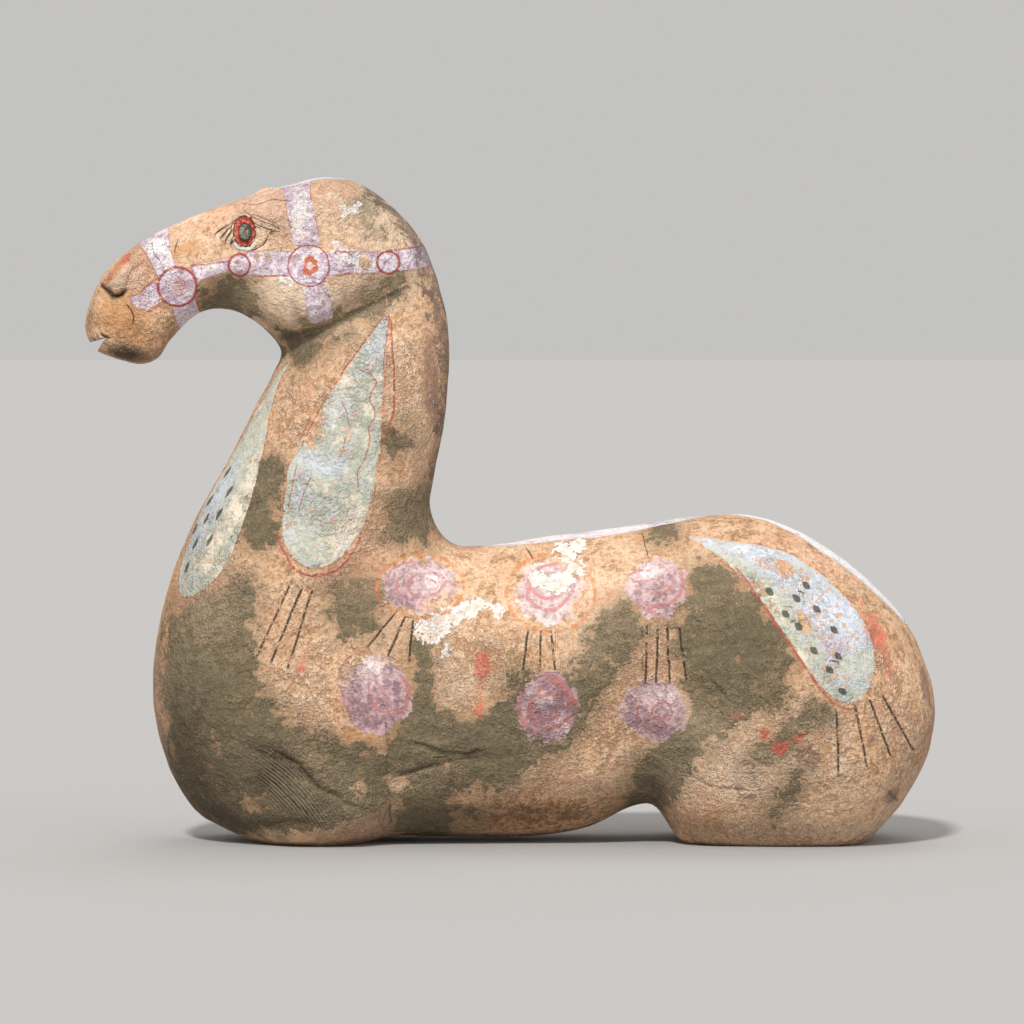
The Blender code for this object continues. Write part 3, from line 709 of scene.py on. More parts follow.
BLACK_STROKES = (
    (((51.7, 44.2), (52.4, 42.9)), 0.5),
    (((65.2, 46.4), (65.8, 43.4)), 0.4),
    (((5.1, 80.8), (5.6, 80.0), (5.9, 79.1), (5.8, 78.1)), 0.5),
    ((
        (17.2, 91.9), (17.5, 93.1), (18.2, 93.9), (18.7, 94.1), (19.3, 93.7), (19.9, 93.1), (21.0, 92.4),
        (22.7, 91.7),
    ), 0.4),
    (((23.0, 92.2), (22.1, 92.8), (21.0, 93.2), (19.9, 93.9), (18.9, 94.8)), 0.35),
    (((22.0, 91.7), (21.2, 89.9), (20.3, 89.1), (19.0, 88.9), (18.1, 89.4), (17.4, 90.5)), 0.6),
    (((8.9, 87.4), (8.2, 88.6), (7.9, 90.2)), 0.35),
    (((11.0, 90.4), (10.7, 88.6)), 0.4),
)
STROKE_REACH = 5.0  # how far beside a stroke its values are kept
STROKE_FADE = 2.0
NOWHERE_NEAR = 99.0
# Fans of strings: where they start and where they end, from first to last. A fan's drawing goes on for a
# share of a gap beside its outer strings.
FAN_MARGIN = 0.6
LEAST_GAP = 0.4  # between two strings, in millimetres
FANS = (
    ("tassel of the neck leaf", (
        ((24.7, 40.2), (25.9, 39.2), (27.0, 38.9)),
        ((19.4, 25.2), (22.2, 28.0), (24.6, 28.4)),
    )),
    ("strings of the front pair", (
        ((37.0, 36.2), (37.7, 34.6), (38.4, 33.8)),
        ((33.2, 30.2), (35.6, 28.6), (37.6, 25.6)),
    )),
    ("strings of the middle pair", (
        ((51.9, 32.6), (53.4, 33.0), (54.5, 32.5)),
        ((51.2, 25.6), (53.2, 27.2), (55.0, 25.6)),
    )),
    ("strings of the rear pair", (
        ((65.6, 33.6), (66.9, 33.8), (67.9, 33.6), (69.3, 32.6)),
        ((65.4, 24.6), (66.6, 24.8), (68.2, 24.8), (70.2, 22.8)),
    )),
    ("tassel of the haunch leaf", (
        ((87.3, 21.4), (89.7, 20.8), (91.3, 22.0), (92.2, 25.0)),
        ((88.0, 9.3), (91.1, 11.6), (94.0, 13.0), (96.2, 16.2)),
    )),
    ("lashes", (
        ((17.5, 93.6), (17.5, 92.8), (17.5, 92.0), (17.6, 91.2)),
        ((15.3, 91.3), (15.9, 90.4), (16.4, 89.8), (17.1, 89.3)),
    )),
)
EYE = ((18.88, 91.75), (8.2, 10.7))  # its middle, and its radii in millimetres
EYE_REACH = 2.2  # the same for the eye
EYE_FADE = 0.3

# Folds too sharp for the mesh, with half their width in millimetres and how dark they are painted, as their
# shade and the dirt in them.
FOLDS = (
    (((2.0, 83.7), (3.0, 82.6), (3.5, 82.0), (4.4, 82.2), (4.9, 82.9)), 1.9, 1.0),
    (((6.9, 87.2), (5.7, 86.0), (5.2, 84.6), (4.9, 83.2)), 0.8, 0.3),
    (((2.1, 76.4), (2.4, 76.1), (2.9, 75.8)), 1.1, 1.0),
    (((0.9, 75.7), (1.4, 75.4)), 0.8, 0.8),
    (((16.4, 91.6), (17.4, 93.3), (18.6, 94.5), (20.4, 94.0), (22.9, 92.6)), 0.8, 0.2),
    (((17.2, 90.2), (18.0, 88.9), (19.4, 88.6), (20.8, 89.8)), 0.7, 0.1),
    (((23.0, 75.6), (25.4, 76.3), (28.1, 77.1), (33.1, 80.2), (38.0, 83.1)), 2.6, 0.3),
    (((22.6, 14.2), (24.5, 12.9), (26.3, 11.0), (27.7, 9.0), (30.2, 7.8)), 2.2, 0.7),
    (((36.6, 10.6), (38.4, 11.4), (40.0, 12.0), (41.8, 12.4)), 1.6, 0.4),
    (((22.2, 9.9), (23.7, 8.6), (25.3, 6.2), (26.4, 5.2)), 1.3, 0.4),
    (((30.8, 6.7), (33.0, 5.8), (34.6, 4.3), (34.9, 2.2)), 1.5, 0.2),
    (((20.6, 14.4), (23.0, 13.0), (26.0, 12.4)), 1.6, 0.2),
    (((38.8, 15.6), (42.0, 14.2), (44.8, 13.8), (46.4, 14.6)), 1.9, 0.25),
    (((35.9, 6.4), (35.8, 5.0), (35.9, 3.6)), 1.0, 0.6),
    (((35.5, 18.6), (35.7, 15.0), (35.5, 11.0), (35.9, 7.6)), 1.0, 0.25),
    (((73.1, 24.9), (75.2, 22.0)), 1.4, 0.25),
    (((70.4, 11.0), (73.0, 9.2), (77.0, 8.8)), 1.3, 0.1),
    (((93.6, 8.4), (94.8, 6.6)), 1.6, 0.5),
)
# Where white ground shows through the colours: centre, radii in millimetres, tilt and strength.
WHITES = (
    ((9.0, 89.2), (10.0, 13.0), 0, 0.85),
    ((25.6, 94.6), (11.0, 22.0), 0, 0.8),
    ((31.6, 87.8), (8.0, 8.0), 0, 0.9),
    ((38.6, 88.0), (14.0, 8.0), 0, 0.25),
    ((28.2, 57.1), (24.0, 8.0), -8, 0.65),
    ((29.6, 65.1), (20.0, 8.0), 65, 1.0),
    ((33.6, 74.0), (20.0, 7.0), 65, 0.7),
    ((27.5, 44.8), (26.0, 9.0), 0, 0.35),
    ((31.4, 48.0), (12.0, 20.0), -15, 0.4),
    ((84.0, 38.0), (60.0, 12.0), -45, 0.4),
    ((88.4, 31.0), (22.0, 22.0), 0, 0.35),
    ((55.6, 38.8), (19.0, 9.0), 10, 0.9),
    ((41.0, 40.0), (14.0, 6.0), 0, 0.35),
    ((65.0, 41.0), (14.0, 7.0), 20, 0.5),
    ((33.0, 19.6), (12.0, 8.0), 0, 0.3),
)
# Where the leaves, roundels and straps have lost their paint.
LEAF_LOSSES = (
    ((26.3, 62.6), (13.0, 14.0), 0, 1.5),
    ((28.3, 68.6), (22.0, 6.0), 62, 1.4),
    ((32.0, 66.0), (16.0, 3.0), 85, 0.5),
    ((24.2, 50.0), (4.0, 20.0), 0, 0.35),
    ((78.6, 38.6), (13.0, 5.0), -50, 0.9),
    ((81.6, 41.6), (20.0, 6.0), -25, 0.8),
    ((83.6, 33.6), (10.0, 5.0), -50, 0.8),
    ((86.0, 26.6), (9.0, 5.0), -40, 0.6),
    ((71.0, 45.4), (16.0, 6.0), -20, 0.5),
    ((86.0, 33.0), (44.0, 30.0), -45, 0.42),
    ((31.6, 58.6), (12.0, 10.0), 0, 0.35),
    ((41.6, 36.4), (16.0, 7.0), 15, 1.1),
    ((57.7, 35.6), (9.0, 9.0), 0, 1.1),
    ((58.5, 37.8), (5.0, 9.0), 0, 0.7),
    ((69.9, 35.6), (8.0, 6.0), 0, 0.9),
    ((63.9, 35.6), (7.0, 6.0), 0, 0.7),
    ((67.4, 38.6), (9.0, 9.0), 0, 0.45),
    ((31.4, 27.0), (9.0, 9.0), 0, 0.6),
    ((36.0, 27.6), (8.0, 7.0), 0, 0.5),
    ((63.5, 16.9), (10.0, 8.0), 0, 0.9),
    ((63.5, 22.3), (7.0, 10.0), 0, 0.5),
    ((32.9, 87.4), (5.0, 9.0), 0, 1.2),
    ((23.8, 84.9), (5.0, 4.0), 0, 0.8),
    ((28.4, 78.0), (7.0, 5.0), -30, 0.8),
    ((14.6, 85.6), (4.0, 4.0), 0, 0.6),
    ((20.3, 88.0), (2.2, 3.0), 0, 1.5),
    ((21.6, 87.8), (2.4, 2.6), 0, 1.5),
    ((24.8, 88.0), (2.4, 2.4), 0, 1.4),
    ((18.1, 87.2), (4.0, 4.0), 0, 1.0),
    ((11.0, 84.2), (4.0, 4.0), 0, 0.8),
    ((28.1, 81.0), (2.4, 4.0), 0, 1.2),
    ((25.4, 94.2), (6.0, 2.4), 20, 0.7),
    ((69.8, 23.2), (7.0, 8.0), 0, 0.5),
)

# Soil that dried on in the grave, by its outlines.
SOIL = (
    ("haunch", (
        (70.1, 40.7), (72.5, 41.8), (75.1, 41.5), (77.5, 38.0), (79.5, 34.0), (81.4, 31.0), (82.7, 27.5),
        (80.2, 24.6), (81.6, 21.2), (78.1, 20.3), (75.8, 20.6), (75.0, 17.3), (72.3, 15.6), (70.0, 10.4),
        (68.2, 7.1), (66.7, 3.0), (63.5, 0.0), (62.8, 6.0), (63.8, 9.0), (65.0, 14.0), (68.4, 16.8),
        (70.2, 20.0), (70.3, 25.0), (69.0, 31.1), (69.4, 37.0),
    )),
    ("below the haunch leaf", (
        (86.0, 22.3), (87.2, 20.6), (84.0, 17.2), (81.0, 14.6), (78.6, 12.4), (76.8, 13.1), (79.0, 16.2),
        (82.0, 19.4),
    )),
    ("streak on the rear leg", (
        (83.5, 12.0), (82.8, 9.0), (81.8, 6.5), (80.3, 4.0), (79.2, 5.5), (81.0, 8.0), (82.2, 11.4),
    )),
    ("flank", (
        (38.4, 31.6), (40.8, 31.3), (40.5, 24.4), (42.4, 19.8), (46.8, 19.4), (50.0, 22.4), (50.6, 26.8),
        (53.0, 24.4), (56.5, 26.6), (58.6, 31.0), (60.8, 34.6), (63.6, 36.5), (65.3, 36.0), (65.0, 31.0),
        (62.3, 26.8), (59.8, 22.8), (58.0, 17.6), (55.6, 13.2), (52.0, 12.6), (49.0, 9.0), (45.0, 3.0),
        (39.0, 0.4), (36.0, 2.8), (36.2, 8.4), (35.3, 13.0), (36.2, 18.6), (38.6, 22.2),
    )),
    ("low breast and foreleg", (
        (10.4, 34.6), (13.2, 36.0), (16.4, 38.0), (19.4, 40.4), (20.6, 37.6), (19.6, 31.4), (20.0, 25.1),
        (22.8, 19.8), (27.0, 17.2), (31.0, 15.8), (34.7, 14.8), (36.6, 8.0), (35.4, 4.4), (28.8, 3.8),
        (26.0, 0.8), (19.4, 1.3), (14.1, 4.0), (10.6, 10.9), (8.9, 21.5), (9.2, 30.3),
    )),
    ("between the leaves", (
        (19.2, 50.5), (20.2, 54.6), (21.4, 57.2), (23.6, 56.6), (23.0, 51.8), (22.5, 46.6), (20.2, 44.4),
        (18.4, 46.6),
    )),
    ("behind the cheek", ((32.2, 97.1), (34.0, 95.7), (34.6, 92.0), (33.8, 91.4), (32.8, 93.6))),
    ("under the nape strap", (
        (34.4, 84.8), (36.6, 86.0), (38.4, 85.6), (37.4, 83.6), (36.6, 82.2), (35.4, 82.0),
    )),
    ("back of the neck", ((34.9, 62.6), (37.5, 62.5), (38.0, 58.4), (35.4, 57.8))),
    ("withers", ((36.2, 52.4), (41.6, 53.6), (42.6, 47.6), (38.0, 45.0), (34.6, 47.4))),
    ("shoulder", ((29.6, 39.6), (33.6, 41.0), (34.6, 36.8), (35.0, 32.4), (30.4, 31.8), (28.8, 35.0))),
    ("loin", ((66.2, 47.4), (69.0, 47.6), (69.2, 46.0), (66.6, 45.6))),
    ("jaw fold", (
        (22.0, 76.4), (26.0, 77.6), (30.0, 79.6), (34.4, 83.4), (36.0, 83.2), (33.0, 79.2), (29.4, 76.0),
        (26.6, 72.4), (24.6, 71.4), (24.4, 74.2),
    )),
    ("under the jaw", (
        (13.6, 81.6), (15.4, 84.4), (17.6, 84.8), (19.8, 83.4), (21.0, 80.4), (19.0, 79.6), (14.0, 79.6),
    )),
)
# Places inside the soil where it has come off.
SOIL_GAPS = (
    ((20.2, 6.0), (13.0, 12.0), 0, 0.6),
    ((31.4, 9.6), (15.0, 9.0), -20, 0.35),
    ((26.8, 13.4), (12.0, 8.0), 0, 0.5),
    ((36.6, 8.6), (9.0, 16.0), 0, 0.5),
    ((24.5, 1.4), (27.0, 7.0), 0, 1.1),
    ((38.6, 10.0), (13.0, 11.0), 0, 0.3),
    ((58.4, 27.4), (14.0, 12.0), 30, 0.4),
    ((34.0, 4.2), (15.0, 12.0), 0, 0.4),
    ((44.2, 6.4), (13.0, 15.0), 0, 0.6),
    ((56.4, 13.4), (10.0, 10.0), 0, 0.5),
    ((48.4, 7.6), (26.0, 13.0), 0, 0.5),
    ((16.4, 15.4), (9.0, 14.0), 20, 0.4),
)
# Where white ground lies bare, by its outlines.
CHALK = (
    ("over the middle roundel", (
        (54.7, 42.8), (55.2, 44.9), (58.4, 45.8), (58.7, 45.2), (57.9, 43.7), (58.2, 42.8), (58.6, 41.0),
        (57.9, 40.4), (57.3, 39.4), (56.8, 38.6), (56.1, 38.0), (55.2, 37.6), (54.3, 38.2), (53.8, 39.0),
        (52.7, 38.8), (51.8, 39.8), (52.1, 40.9), (53.1, 41.2), (54.5, 40.8), (56.1, 40.9), (56.8, 41.4),
        (56.6, 42.4), (55.8, 42.9),
    )),
    ("below the front roundel", (
        (38.6, 33.2), (41.7, 35.3), (43.4, 36.2), (45.1, 37.0), (46.8, 37.1), (47.2, 36.0), (45.8, 34.4),
        (44.2, 33.6), (42.8, 32.1), (41.2, 30.6), (39.6, 30.4), (38.4, 31.8),
    )),
    ("tail of the white patch", ((47.2, 36.8), (48.6, 36.2), (49.6, 34.4), (48.4, 34.2), (47.4, 35.6))),
    ("chip on the flank", ((41.8, 30.0), (42.8, 30.2), (43.0, 28.8), (41.9, 28.6))),
    ("cheek", (
        (28.9, 88.4), (29.4, 90.0), (30.1, 90.9), (30.8, 90.3), (31.4, 88.8), (32.0, 87.4), (31.4, 86.2),
        (29.6, 86.0), (28.8, 87.0),
    )),
    ("temple", ((30.2, 95.6), (32.2, 95.8), (32.0, 94.2), (30.4, 94.2))),
    ("below the strap", ((22.8, 85.2), (24.4, 85.2), (24.4, 83.9), (23.0, 83.8))),
    ("corner of the noseband", ((7.6, 90.6), (9.4, 90.9), (9.6, 88.6), (8.2, 87.8))),
)
# Soft stains: centre, radii in millimetres, tilt and strength.
OCHRE = (
    ((4.2, 79.6), (22.0, 17.0), 0, 1.0),
    ((6.6, 75.2), (16.0, 12.0), 0, 0.6),
    ((12.2, 89.4), (13.0, 8.0), 20, 0.8),
    ((10.2, 32.0), (14.0, 62.0), 0, 0.7),
    ((33.0, 16.6), (26.0, 9.0), 0, 0.8),
    ((86.0, 6.0), (70.0, 22.0), 0, 0.35),
    ((73.0, 5.0), (20.0, 24.0), 0, 0.45),
    ((60.0, 9.0), (44.0, 16.0), 8, 0.30),
    ((81.3, 37.8), (8.0, 5.0), -45, 1.0),
    ((25.9, 49.0), (8.0, 5.0), 15, 1.0),
    ((65.2, 45.8), (7.0, 4.0), 0, 0.8),
    ((3.9, 86.2), (12.0, 3.6), 49, 1.1),
    ((22.0, 66.0), (8.0, 26.0), 20, 0.2),
    ((25.5, 1.6), (24.0, 7.0), 0, 0.7),
)
RED_STAINS = (
    ((46.6, 27.2), (6.5, 11.0), 0, 1.7),
    ((46.1, 21.0), (3.0, 12.0), 0, 0.9),
    ((92.2, 31.6), (9.0, 22.0), 24, 0.95),
    ((79.1, 17.4), (5.5, 6.0), 30, 1.2),
    ((81.0, 15.3), (7.0, 5.0), 30, 1.5),
    ((83.0, 16.8), (5.0, 4.0), -40, 1.2),
    ((25.6, 27.0), (4.0, 16.0), -12, 0.6),
    ((5.1, 87.9), (4.0, 2.6), 50, 1.3),
    ((2.8, 84.4), (5.0, 2.2), 40, 0.7),
    ((3.9, 86.2), (12.0, 4.0), 49, 0.65),
    ((75.8, 20.2), (6.0, 3.0), -30, 0.5),
    ((25.4, 42.6), (9.0, 3.0), 20, 0.4),
    ((28.6, 58.4), (3.0, 9.0), 10, 0.3),
    ((93.6, 26.4), (3.0, 9.0), 10, 0.6),
)
# Dark stains: soil and chipped paint, and painted shade under the jaw, along the jaw fold, below the lower
# lip and low on the breast.
DIRT_AND_SHADE_STAINS = (
    ((12.5, 9.0), (22.0, 44.0), 30, 1.0),
    ((11.4, 17.0), (12.0, 50.0), 8, 0.7),
    ((20.0, 3.0), (40.0, 14.0), -8, 0.8),
    ((17.4, 82.2), (20.0, 9.0), 10, 0.55),
    ((21.6, 78.4), (12.0, 9.0), -40, 0.45),
    ((5.0, 73.5), (10.0, 6.0), -10, 2.6),
    ((7.6, 72.8), (16.0, 7.0), 0, 0.6),
    ((24.9, 8.4), (24.0, 8.0), -48, 0.55),
    ((21.4, 9.6), (12.0, 16.0), -30, 0.9),
    ((23.0, 13.0), (24.0, 5.0), -28, 0.8),
    ((14.2, 20.0), (16.0, 44.0), 6, 0.35),
    ((66.4, 8.0), (12.0, 34.0), 10, 0.6),
    ((46.0, 14.6), (54.0, 11.0), 6, 0.5),
    ((1.0, 79.5), (5.0, 24.0), -12, 0.65),
    ((26.3, 45.9), (2.8, 6.0), -14, 0.9),
    ((35.8, 4.6), (6.0, 12.0), 0, 0.5),
    ((78.0, 9.4), (18.0, 6.0), 10, 0.25),
    ((30.0, 53.4), (15.0, 10.0), 20, 0.35),
    ((26.0, 76.0), (24.0, 6.0), 10, 0.45),
    ((31.4, 78.6), (24.0, 5.0), 28, 0.30),
    ((36.4, 82.4), (16.0, 5.0), 24, 0.35),
    ((54.4, 20.7), (5.0, 5.0), 0, 0.5),
    ((20.9, 88.0), (9.0, 4.0), 0, 0.9),
    ((24.8, 88.0), (3.0, 3.0), 0, 0.9),
    ((18.1, 87.0), (5.0, 5.0), 0, 0.7),
    ((28.1, 81.0), (3.0, 4.0), 0, 0.8),
    ((4.0, 73.6), (7.0, 4.0), 0, 1.0),
)
# Violet-brown smudges, of paint that has run or rubbed.
SMUDGES = (
    ((84.4, 13.9), (14.0, 14.0), 30, 1.0),
    ((76.3, 9.5), (7.0, 6.0), 0, 0.9),
    ((77.4, 7.7), (9.0, 4.0), 10, 0.9),
    ((91.5, 16.6), (5.0, 6.0), 0, 1.0),
    ((94.0, 7.6), (11.0, 7.0), 40, 1.1),
    ((98.0, 24.0), (5.0, 20.0), 8, 0.9),
    ((84.8, 44.6), (8.0, 3.0), -20, 0.8),
    ((96.2, 33.0), (5.0, 12.0), 20, 0.6),
    ((30.9, 92.6), (5.0, 4.0), 0, 0.7),
    ((33.0, 91.0), (4.0, 5.0), 0, 0.7),
    ((40.4, 82.6), (8.0, 12.0), 10, 0.6),
    ((40.6, 69.0), (8.0, 46.0), 3, 1.1),
    ((38.4, 60.0), (7.0, 14.0), 0, 0.6),
    ((24.5, 32.0), (5.0, 8.0), 0, 0.6),
    ((31.5, 33.5), (5.0, 4.0), 0, 0.7),
    ((12.0, 37.0), (5.0, 7.0), 0, 0.6),
)
# Where the surface is rougher (above nothing) or still smooth (below it).
ROUGHNESS = (
    ((80.0, 10.0), (70.0, 50.0), 0, 0.30),
    ((47.0, 27.0), (34.0, 24.0), 0, 0.30),
    ((61.0, 24.0), (24.0, 30.0), -30, 0.20),
    ((27.0, 28.0), (24.0, 40.0), 0, 0.15),
    ((38.0, 66.0), (26.0, 60.0), 6, 0.12),
    ((28.0, 8.0), (70.0, 26.0), 0, 0.10),
    ((56.0, 40.0), (140.0, 30.0), 4, -0.34),
    ((84.0, 47.0), (70.0, 20.0), -32, -0.30),
    ((97.0, 28.0), (18.0, 50.0), 8, -0.16),
    ((14.0, 92.5), (60.0, 18.0), 22, -0.26),
    ((4.0, 79.4), (16.0, 14.0), 0, -0.16),
    ((38.0, 84.0), (20.0, 18.0), 0, -0.12),
    ((36.0, 42.0), (30.0, 16.0), 0, -0.16),
)
# Where the ground colour is lighter (above nothing) or darker (below it): partly the clay's own tone, and
# partly painted light and shade, lighter where the clay turns away from the lamps, as under the cheek, on
# the nostril and on the foreleg's slab, and darker low down on the breast and belly.
TONE_AND_PAINTED_LIGHT = (
    ((4.9, 84.6), (8.0, 7.0), 40, 1.60),
    ((1.4, 80.0), (6.0, 26.0), -10, 0.10),
    ((30.0, 96.0), (24.0, 14.0), 0, 0.30),
    ((72.9, 19.3), (18.0, 15.0), 0, 0.80),
    ((36.0, 42.0), (30.0, 16.0), 0, -0.20),
    ((24.5, 1.6), (24.0, 7.0), 0, 0.90),
    ((31.4, 9.2), (16.0, 10.0), -20, 0.30),
    ((37.4, 9.0), (14.0, 16.0), 0, 0.35),
    ((34.0, 4.6), (18.0, 12.0), 0, 0.60),
    ((26.0, 13.4), (20.0, 10.0), -20, 0.40),
    ((58.4, 27.4), (24.0, 22.0), 30, 0.50),
    ((68.6, 19.2), (16.0, 18.0), 0, 0.90),
    ((30.0, 78.0), (26.0, 8.0), 25, 0.40),
    ((56.0, 38.0), (130.0, 44.0), 4, 0.22),
    ((44.0, 25.0), (26.0, 22.0), 0, 0.52),
    ((22.4, 94.7), (18.0, 12.0), 0, 0.34),
    ((31.0, 82.6), (16.0, 10.0), 25, 0.60),
    ((26.8, 78.2), (16.0, 5.0), 5, 0.60),
    ((33.6, 94.6), (9.0, 15.0), -15, 0.70),
    ((15.3, 92.6), (18.0, 9.0), 25, -0.40),
    ((4.1, 86.2), (9.0, 9.0), 40, 0.50),
    ((33.7, 91.0), (18.0, 12.0), 0, 0.30),
    ((16.0, 32.6), (26.0, 36.0), 0, 0.26),
    ((14.0, 16.3), (28.0, 34.0), 0, -0.30),
    ((54.4, 5.2), (60.0, 14.0), 0, -0.30),
    ((76.0, 31.0), (44.0, 50.0), 0, -0.28),
    ((75.8, 11.2), (36.0, 20.0), 0, 0.24),
    ((68.2, 14.9), (18.0, 22.0), 0, 0.20),
    ((20.0, 93.0), (80.0, 40.0), 20, 0.44),
    ((24.0, 82.0), (40.0, 24.0), 0, 1.02),
    ((36.0, 90.0), (40.0, 50.0), 0, 0.52),
    ((38.0, 66.0), (40.0, 90.0), 8, 0.34),
    ((24.0, 70.0), (26.0, 34.0), 30, 0.08),
    ((72.0, 9.0), (40.0, 22.0), 0, 0.30),
    ((86.0, 5.0), (90.0, 26.0), 0, 0.55),
    ((80.0, 16.0), (60.0, 34.0), 0, 0.52),
    ((60.0, 10.0), (40.0, 18.0), 8, 0.35),
    ((27.0, 27.0), (34.0, 46.0), 0, 0.26),
    ((48.0, 4.0), (90.0, 14.0), 2, -0.50),
    ((16.0, 8.0), (50.0, 30.0), 0, -0.40),
)
# Leaf colours: blue-white is above nothing and cream below it.
LEAF_TINTS = (
    ((27.6, 56.8), (22.0, 9.0), -4, 1.0),
    ((25.6, 46.4), (14.0, 18.0), 0, 0.5),
    ((31.2, 47.0), (16.0, 22.0), -20, -1.0),
    ((30.0, 68.0), (12.0, 12.0), 0, -0.7),
    ((34.6, 75.0), (8.0, 20.0), -10, 0.8),
    ((87.4, 34.0), (38.0, 26.0), -45, 1.2),
    ((80.0, 42.6), (34.0, 12.0), -20, 1.1),
    ((73.0, 45.4), (24.0, 8.0), -12, 0.7),
    ((81.2, 34.2), (8.0, 30.0), 38, -0.3),
    ((89.4, 24.6), (13.0, 7.0), 20, 0.3),
)
BREAST_TINTS = (
    ((40, 50.0), (24.0, 46.0), 0, 0.7),
    ((80, 50.0), (22.0, 46.0), 0, -1.0),
    ((56, 39.6), (34.0, 9.0), 0, 0.3),
)
BREAST_LOSSES = (
    ((14, 66.0), (12.0, 44.0), 0, 0.75),
    ((60, 66.0), (10.0, 20.0), 0, 0.5),
)


def rounded(outline, rounds=1):
    """The outline with its corners cut, again and again, until it runs smoothly."""
    for _ in range(rounds):
        onward = np.roll(outline, -1, axis=0)
        cut = [outline * 0.75 + onward * 0.25, outline * 0.25 + onward * 0.75]
        outline = np.stack(cut, axis=1).reshape(-1, 2)
    return outline


def depth_inside(flat, outline):
    """How deep inside a closed outline each flat point lies, in millimetres; negative outside it."""
    closed = np.concatenate([outline, outline[:1]])
    distance = beside_line(flat, closed)[0]
    inside = np.zeros(len(flat), bool)
    for start, end in zip(closed[:-1], closed[1:]):
        crosses = (start[1] > flat[:, 1]) != (end[1] > flat[:, 1])
        along = (flat[:, 1] - start[1]) / ((end[1] - start[1]) or 1.0)
        inside ^= crosses & (flat[:, 0] < start[0] + along * (end[0] - start[0]))
    return np.where(inside, distance, -distance) / MM


def deepest(flat, outlines, rounds=1):
    """How deep inside the nearest of several outlines each point lies."""
    return np.max([depth_inside(flat, rounded(outline, rounds)) for outline in outlines], axis=0)


def stained(flat, stains, lay=placed):
    """The sum of soft ovals at each flat point."""
    total = np.zeros(len(flat))
    for centre, radii, tilt, strength in stains:
        x, z = lay(*centre)
        total += strength * np.exp(-oval((flat[:, 0] - x) / MM, (flat[:, 1] - z) / MM, radii, tilt))
    return total


def near_enough(away, reach, fade):
    """1 near the middle of a shape and 0 beyond its reach, with a fade inside it."""
    return np.clip((reach - away) / fade, 0, 1)


def strokes(flat, lines):
    """For the nearest stroke: how far beside it a point lies, to the left or right, in millimetres; how
    much of the stroke there is there; and half its width."""
    nearest = np.full(len(flat), NOWHERE_NEAR)
    row = np.zeros((len(flat), 3))
    row[:, 0] = NOWHERE_NEAR
    for places, half_width in lines:
        distance, side, _, past = beside_line(flat, line_of(places))
        distance, past = distance / MM, past / MM
        nearer = distance < nearest
        nearest[nearer] = distance[nearer]
        there = near_enough(past, STROKE_FADE, STROKE_FADE)
        there = there * near_enough(distance, STROKE_REACH, STROKE_FADE)
        row[nearer] = np.stack([distance * side, there, np.full(len(flat), half_width)], axis=1)[nearer]
    return row


def nearest_value(flat, rows):
    """The last value of the row whose line is nearest to each flat point."""
    distances = [beside_line(flat, line_of(row[0]))[0] for row in rows]
    return np.array([row[-1] for row in rows])[np.argmin(distances, axis=0)]


def breast(round_mm, height_percent):
    """A place on the breast, by millimetres round from the breast line and percent of the height."""
    return np.asarray(round_mm) * MM, np.asarray(height_percent) / 100 * FIGURE_HEIGHT


def fans(flat, rows):
    """For the nearest fan of strings: the string's number with the share of the way to the next, how far
    apart the strings are, in millimetres, and how much of the fan there is."""
    result = np.zeros((len(flat), 3))
    for _, (starts, ends) in rows:
        starts, ends = line_of(starts), line_of(ends)
        origin = starts.mean(axis=0)
        down = ends.mean(axis=0) - origin
        length = np.linalg.norm(down)
        across = np.array([-down[1], down[0]]) / length
        if (starts[-1] - starts[0]) @ across < 0:
            across = -across
        t = (flat - origin) @ down / length**2
        beside = (flat - origin) @ across
        lines = [(start + (end - start) * t[:, None] - origin) @ across for start, end in zip(starts, ends)]
        number = np.zeros(len(flat))
        apart = np.full(len(flat), 1.0)
        for n, (line, following) in enumerate(zip(lines[:-1], lines[1:])):
            gap = np.maximum(following - line, LEAST_GAP * MM)
            here = (beside >= line) | (n == 0)
            number[here] = (n + (beside - line) / gap)[here]
            apart[here] = (gap / MM)[here]
        edge = np.minimum(number, len(lines) - 1 - number) + FAN_MARGIN
        within = np.clip(np.minimum(t, 1 - t) * length / MM / 2, 0, 1) * np.clip(edge * 4, 0, 1)
        more = within > result[:, 2]
        result[more] = np.stack([number, apart, within], axis=1)[more]
    return result


def nearest_round(flat, centres, radii):
    """Each flat point's place in the nearest roundel and distance from its middle, in the roundel's radii,
    and the roundel's number."""
    best = np.full(len(flat), np.inf)
    row = np.zeros((len(flat), 2))
    number = np.zeros(len(flat), int)
    for n, (centre, radius) in enumerate(zip(centres, radii)):
        across, up = flat[:, 0] - centre[0], flat[:, 1] - centre[1]
        local = np.stack([across / radius[0], up / radius[1]], axis=1) / MM
        away = np.linalg.norm(local, axis=1)
        nearer = away < best
        best[nearer] = away[nearer]
        row[nearer] = local[nearer]
        number[nearer] = n
    return row, best, number


side_view = points[:, [0, 2]]
breast_view = np.stack([from_belly * MM, points[:, 2]], axis=1)

# On the far side the soil and the stains wander from where they lie on the near one. The seed makes them
# wander the same way each time.
MIDDLE_BLEND = 25.0  # the change from the near side to the far one, in millimetres
DRIFT_SPREAD = 70.0
DRIFT_WAVES = 11.0
DRIFT_PLACE = Vector((3.1, 7.7, 1.3))
DRIFT_SEED = 5
far = np.clip(points[:, 1] / (MIDDLE_BLEND * MM) + 0.5, 0, 1)
noise.seed_set(DRIFT_SEED)
drift = np.array([noise.noise_vector(Vector(point) * DRIFT_WAVES + DRIFT_PLACE) for point in points])
wandering = side_view + drift[:, [0, 2]] * (DRIFT_SPREAD * MM * far)[:, None]

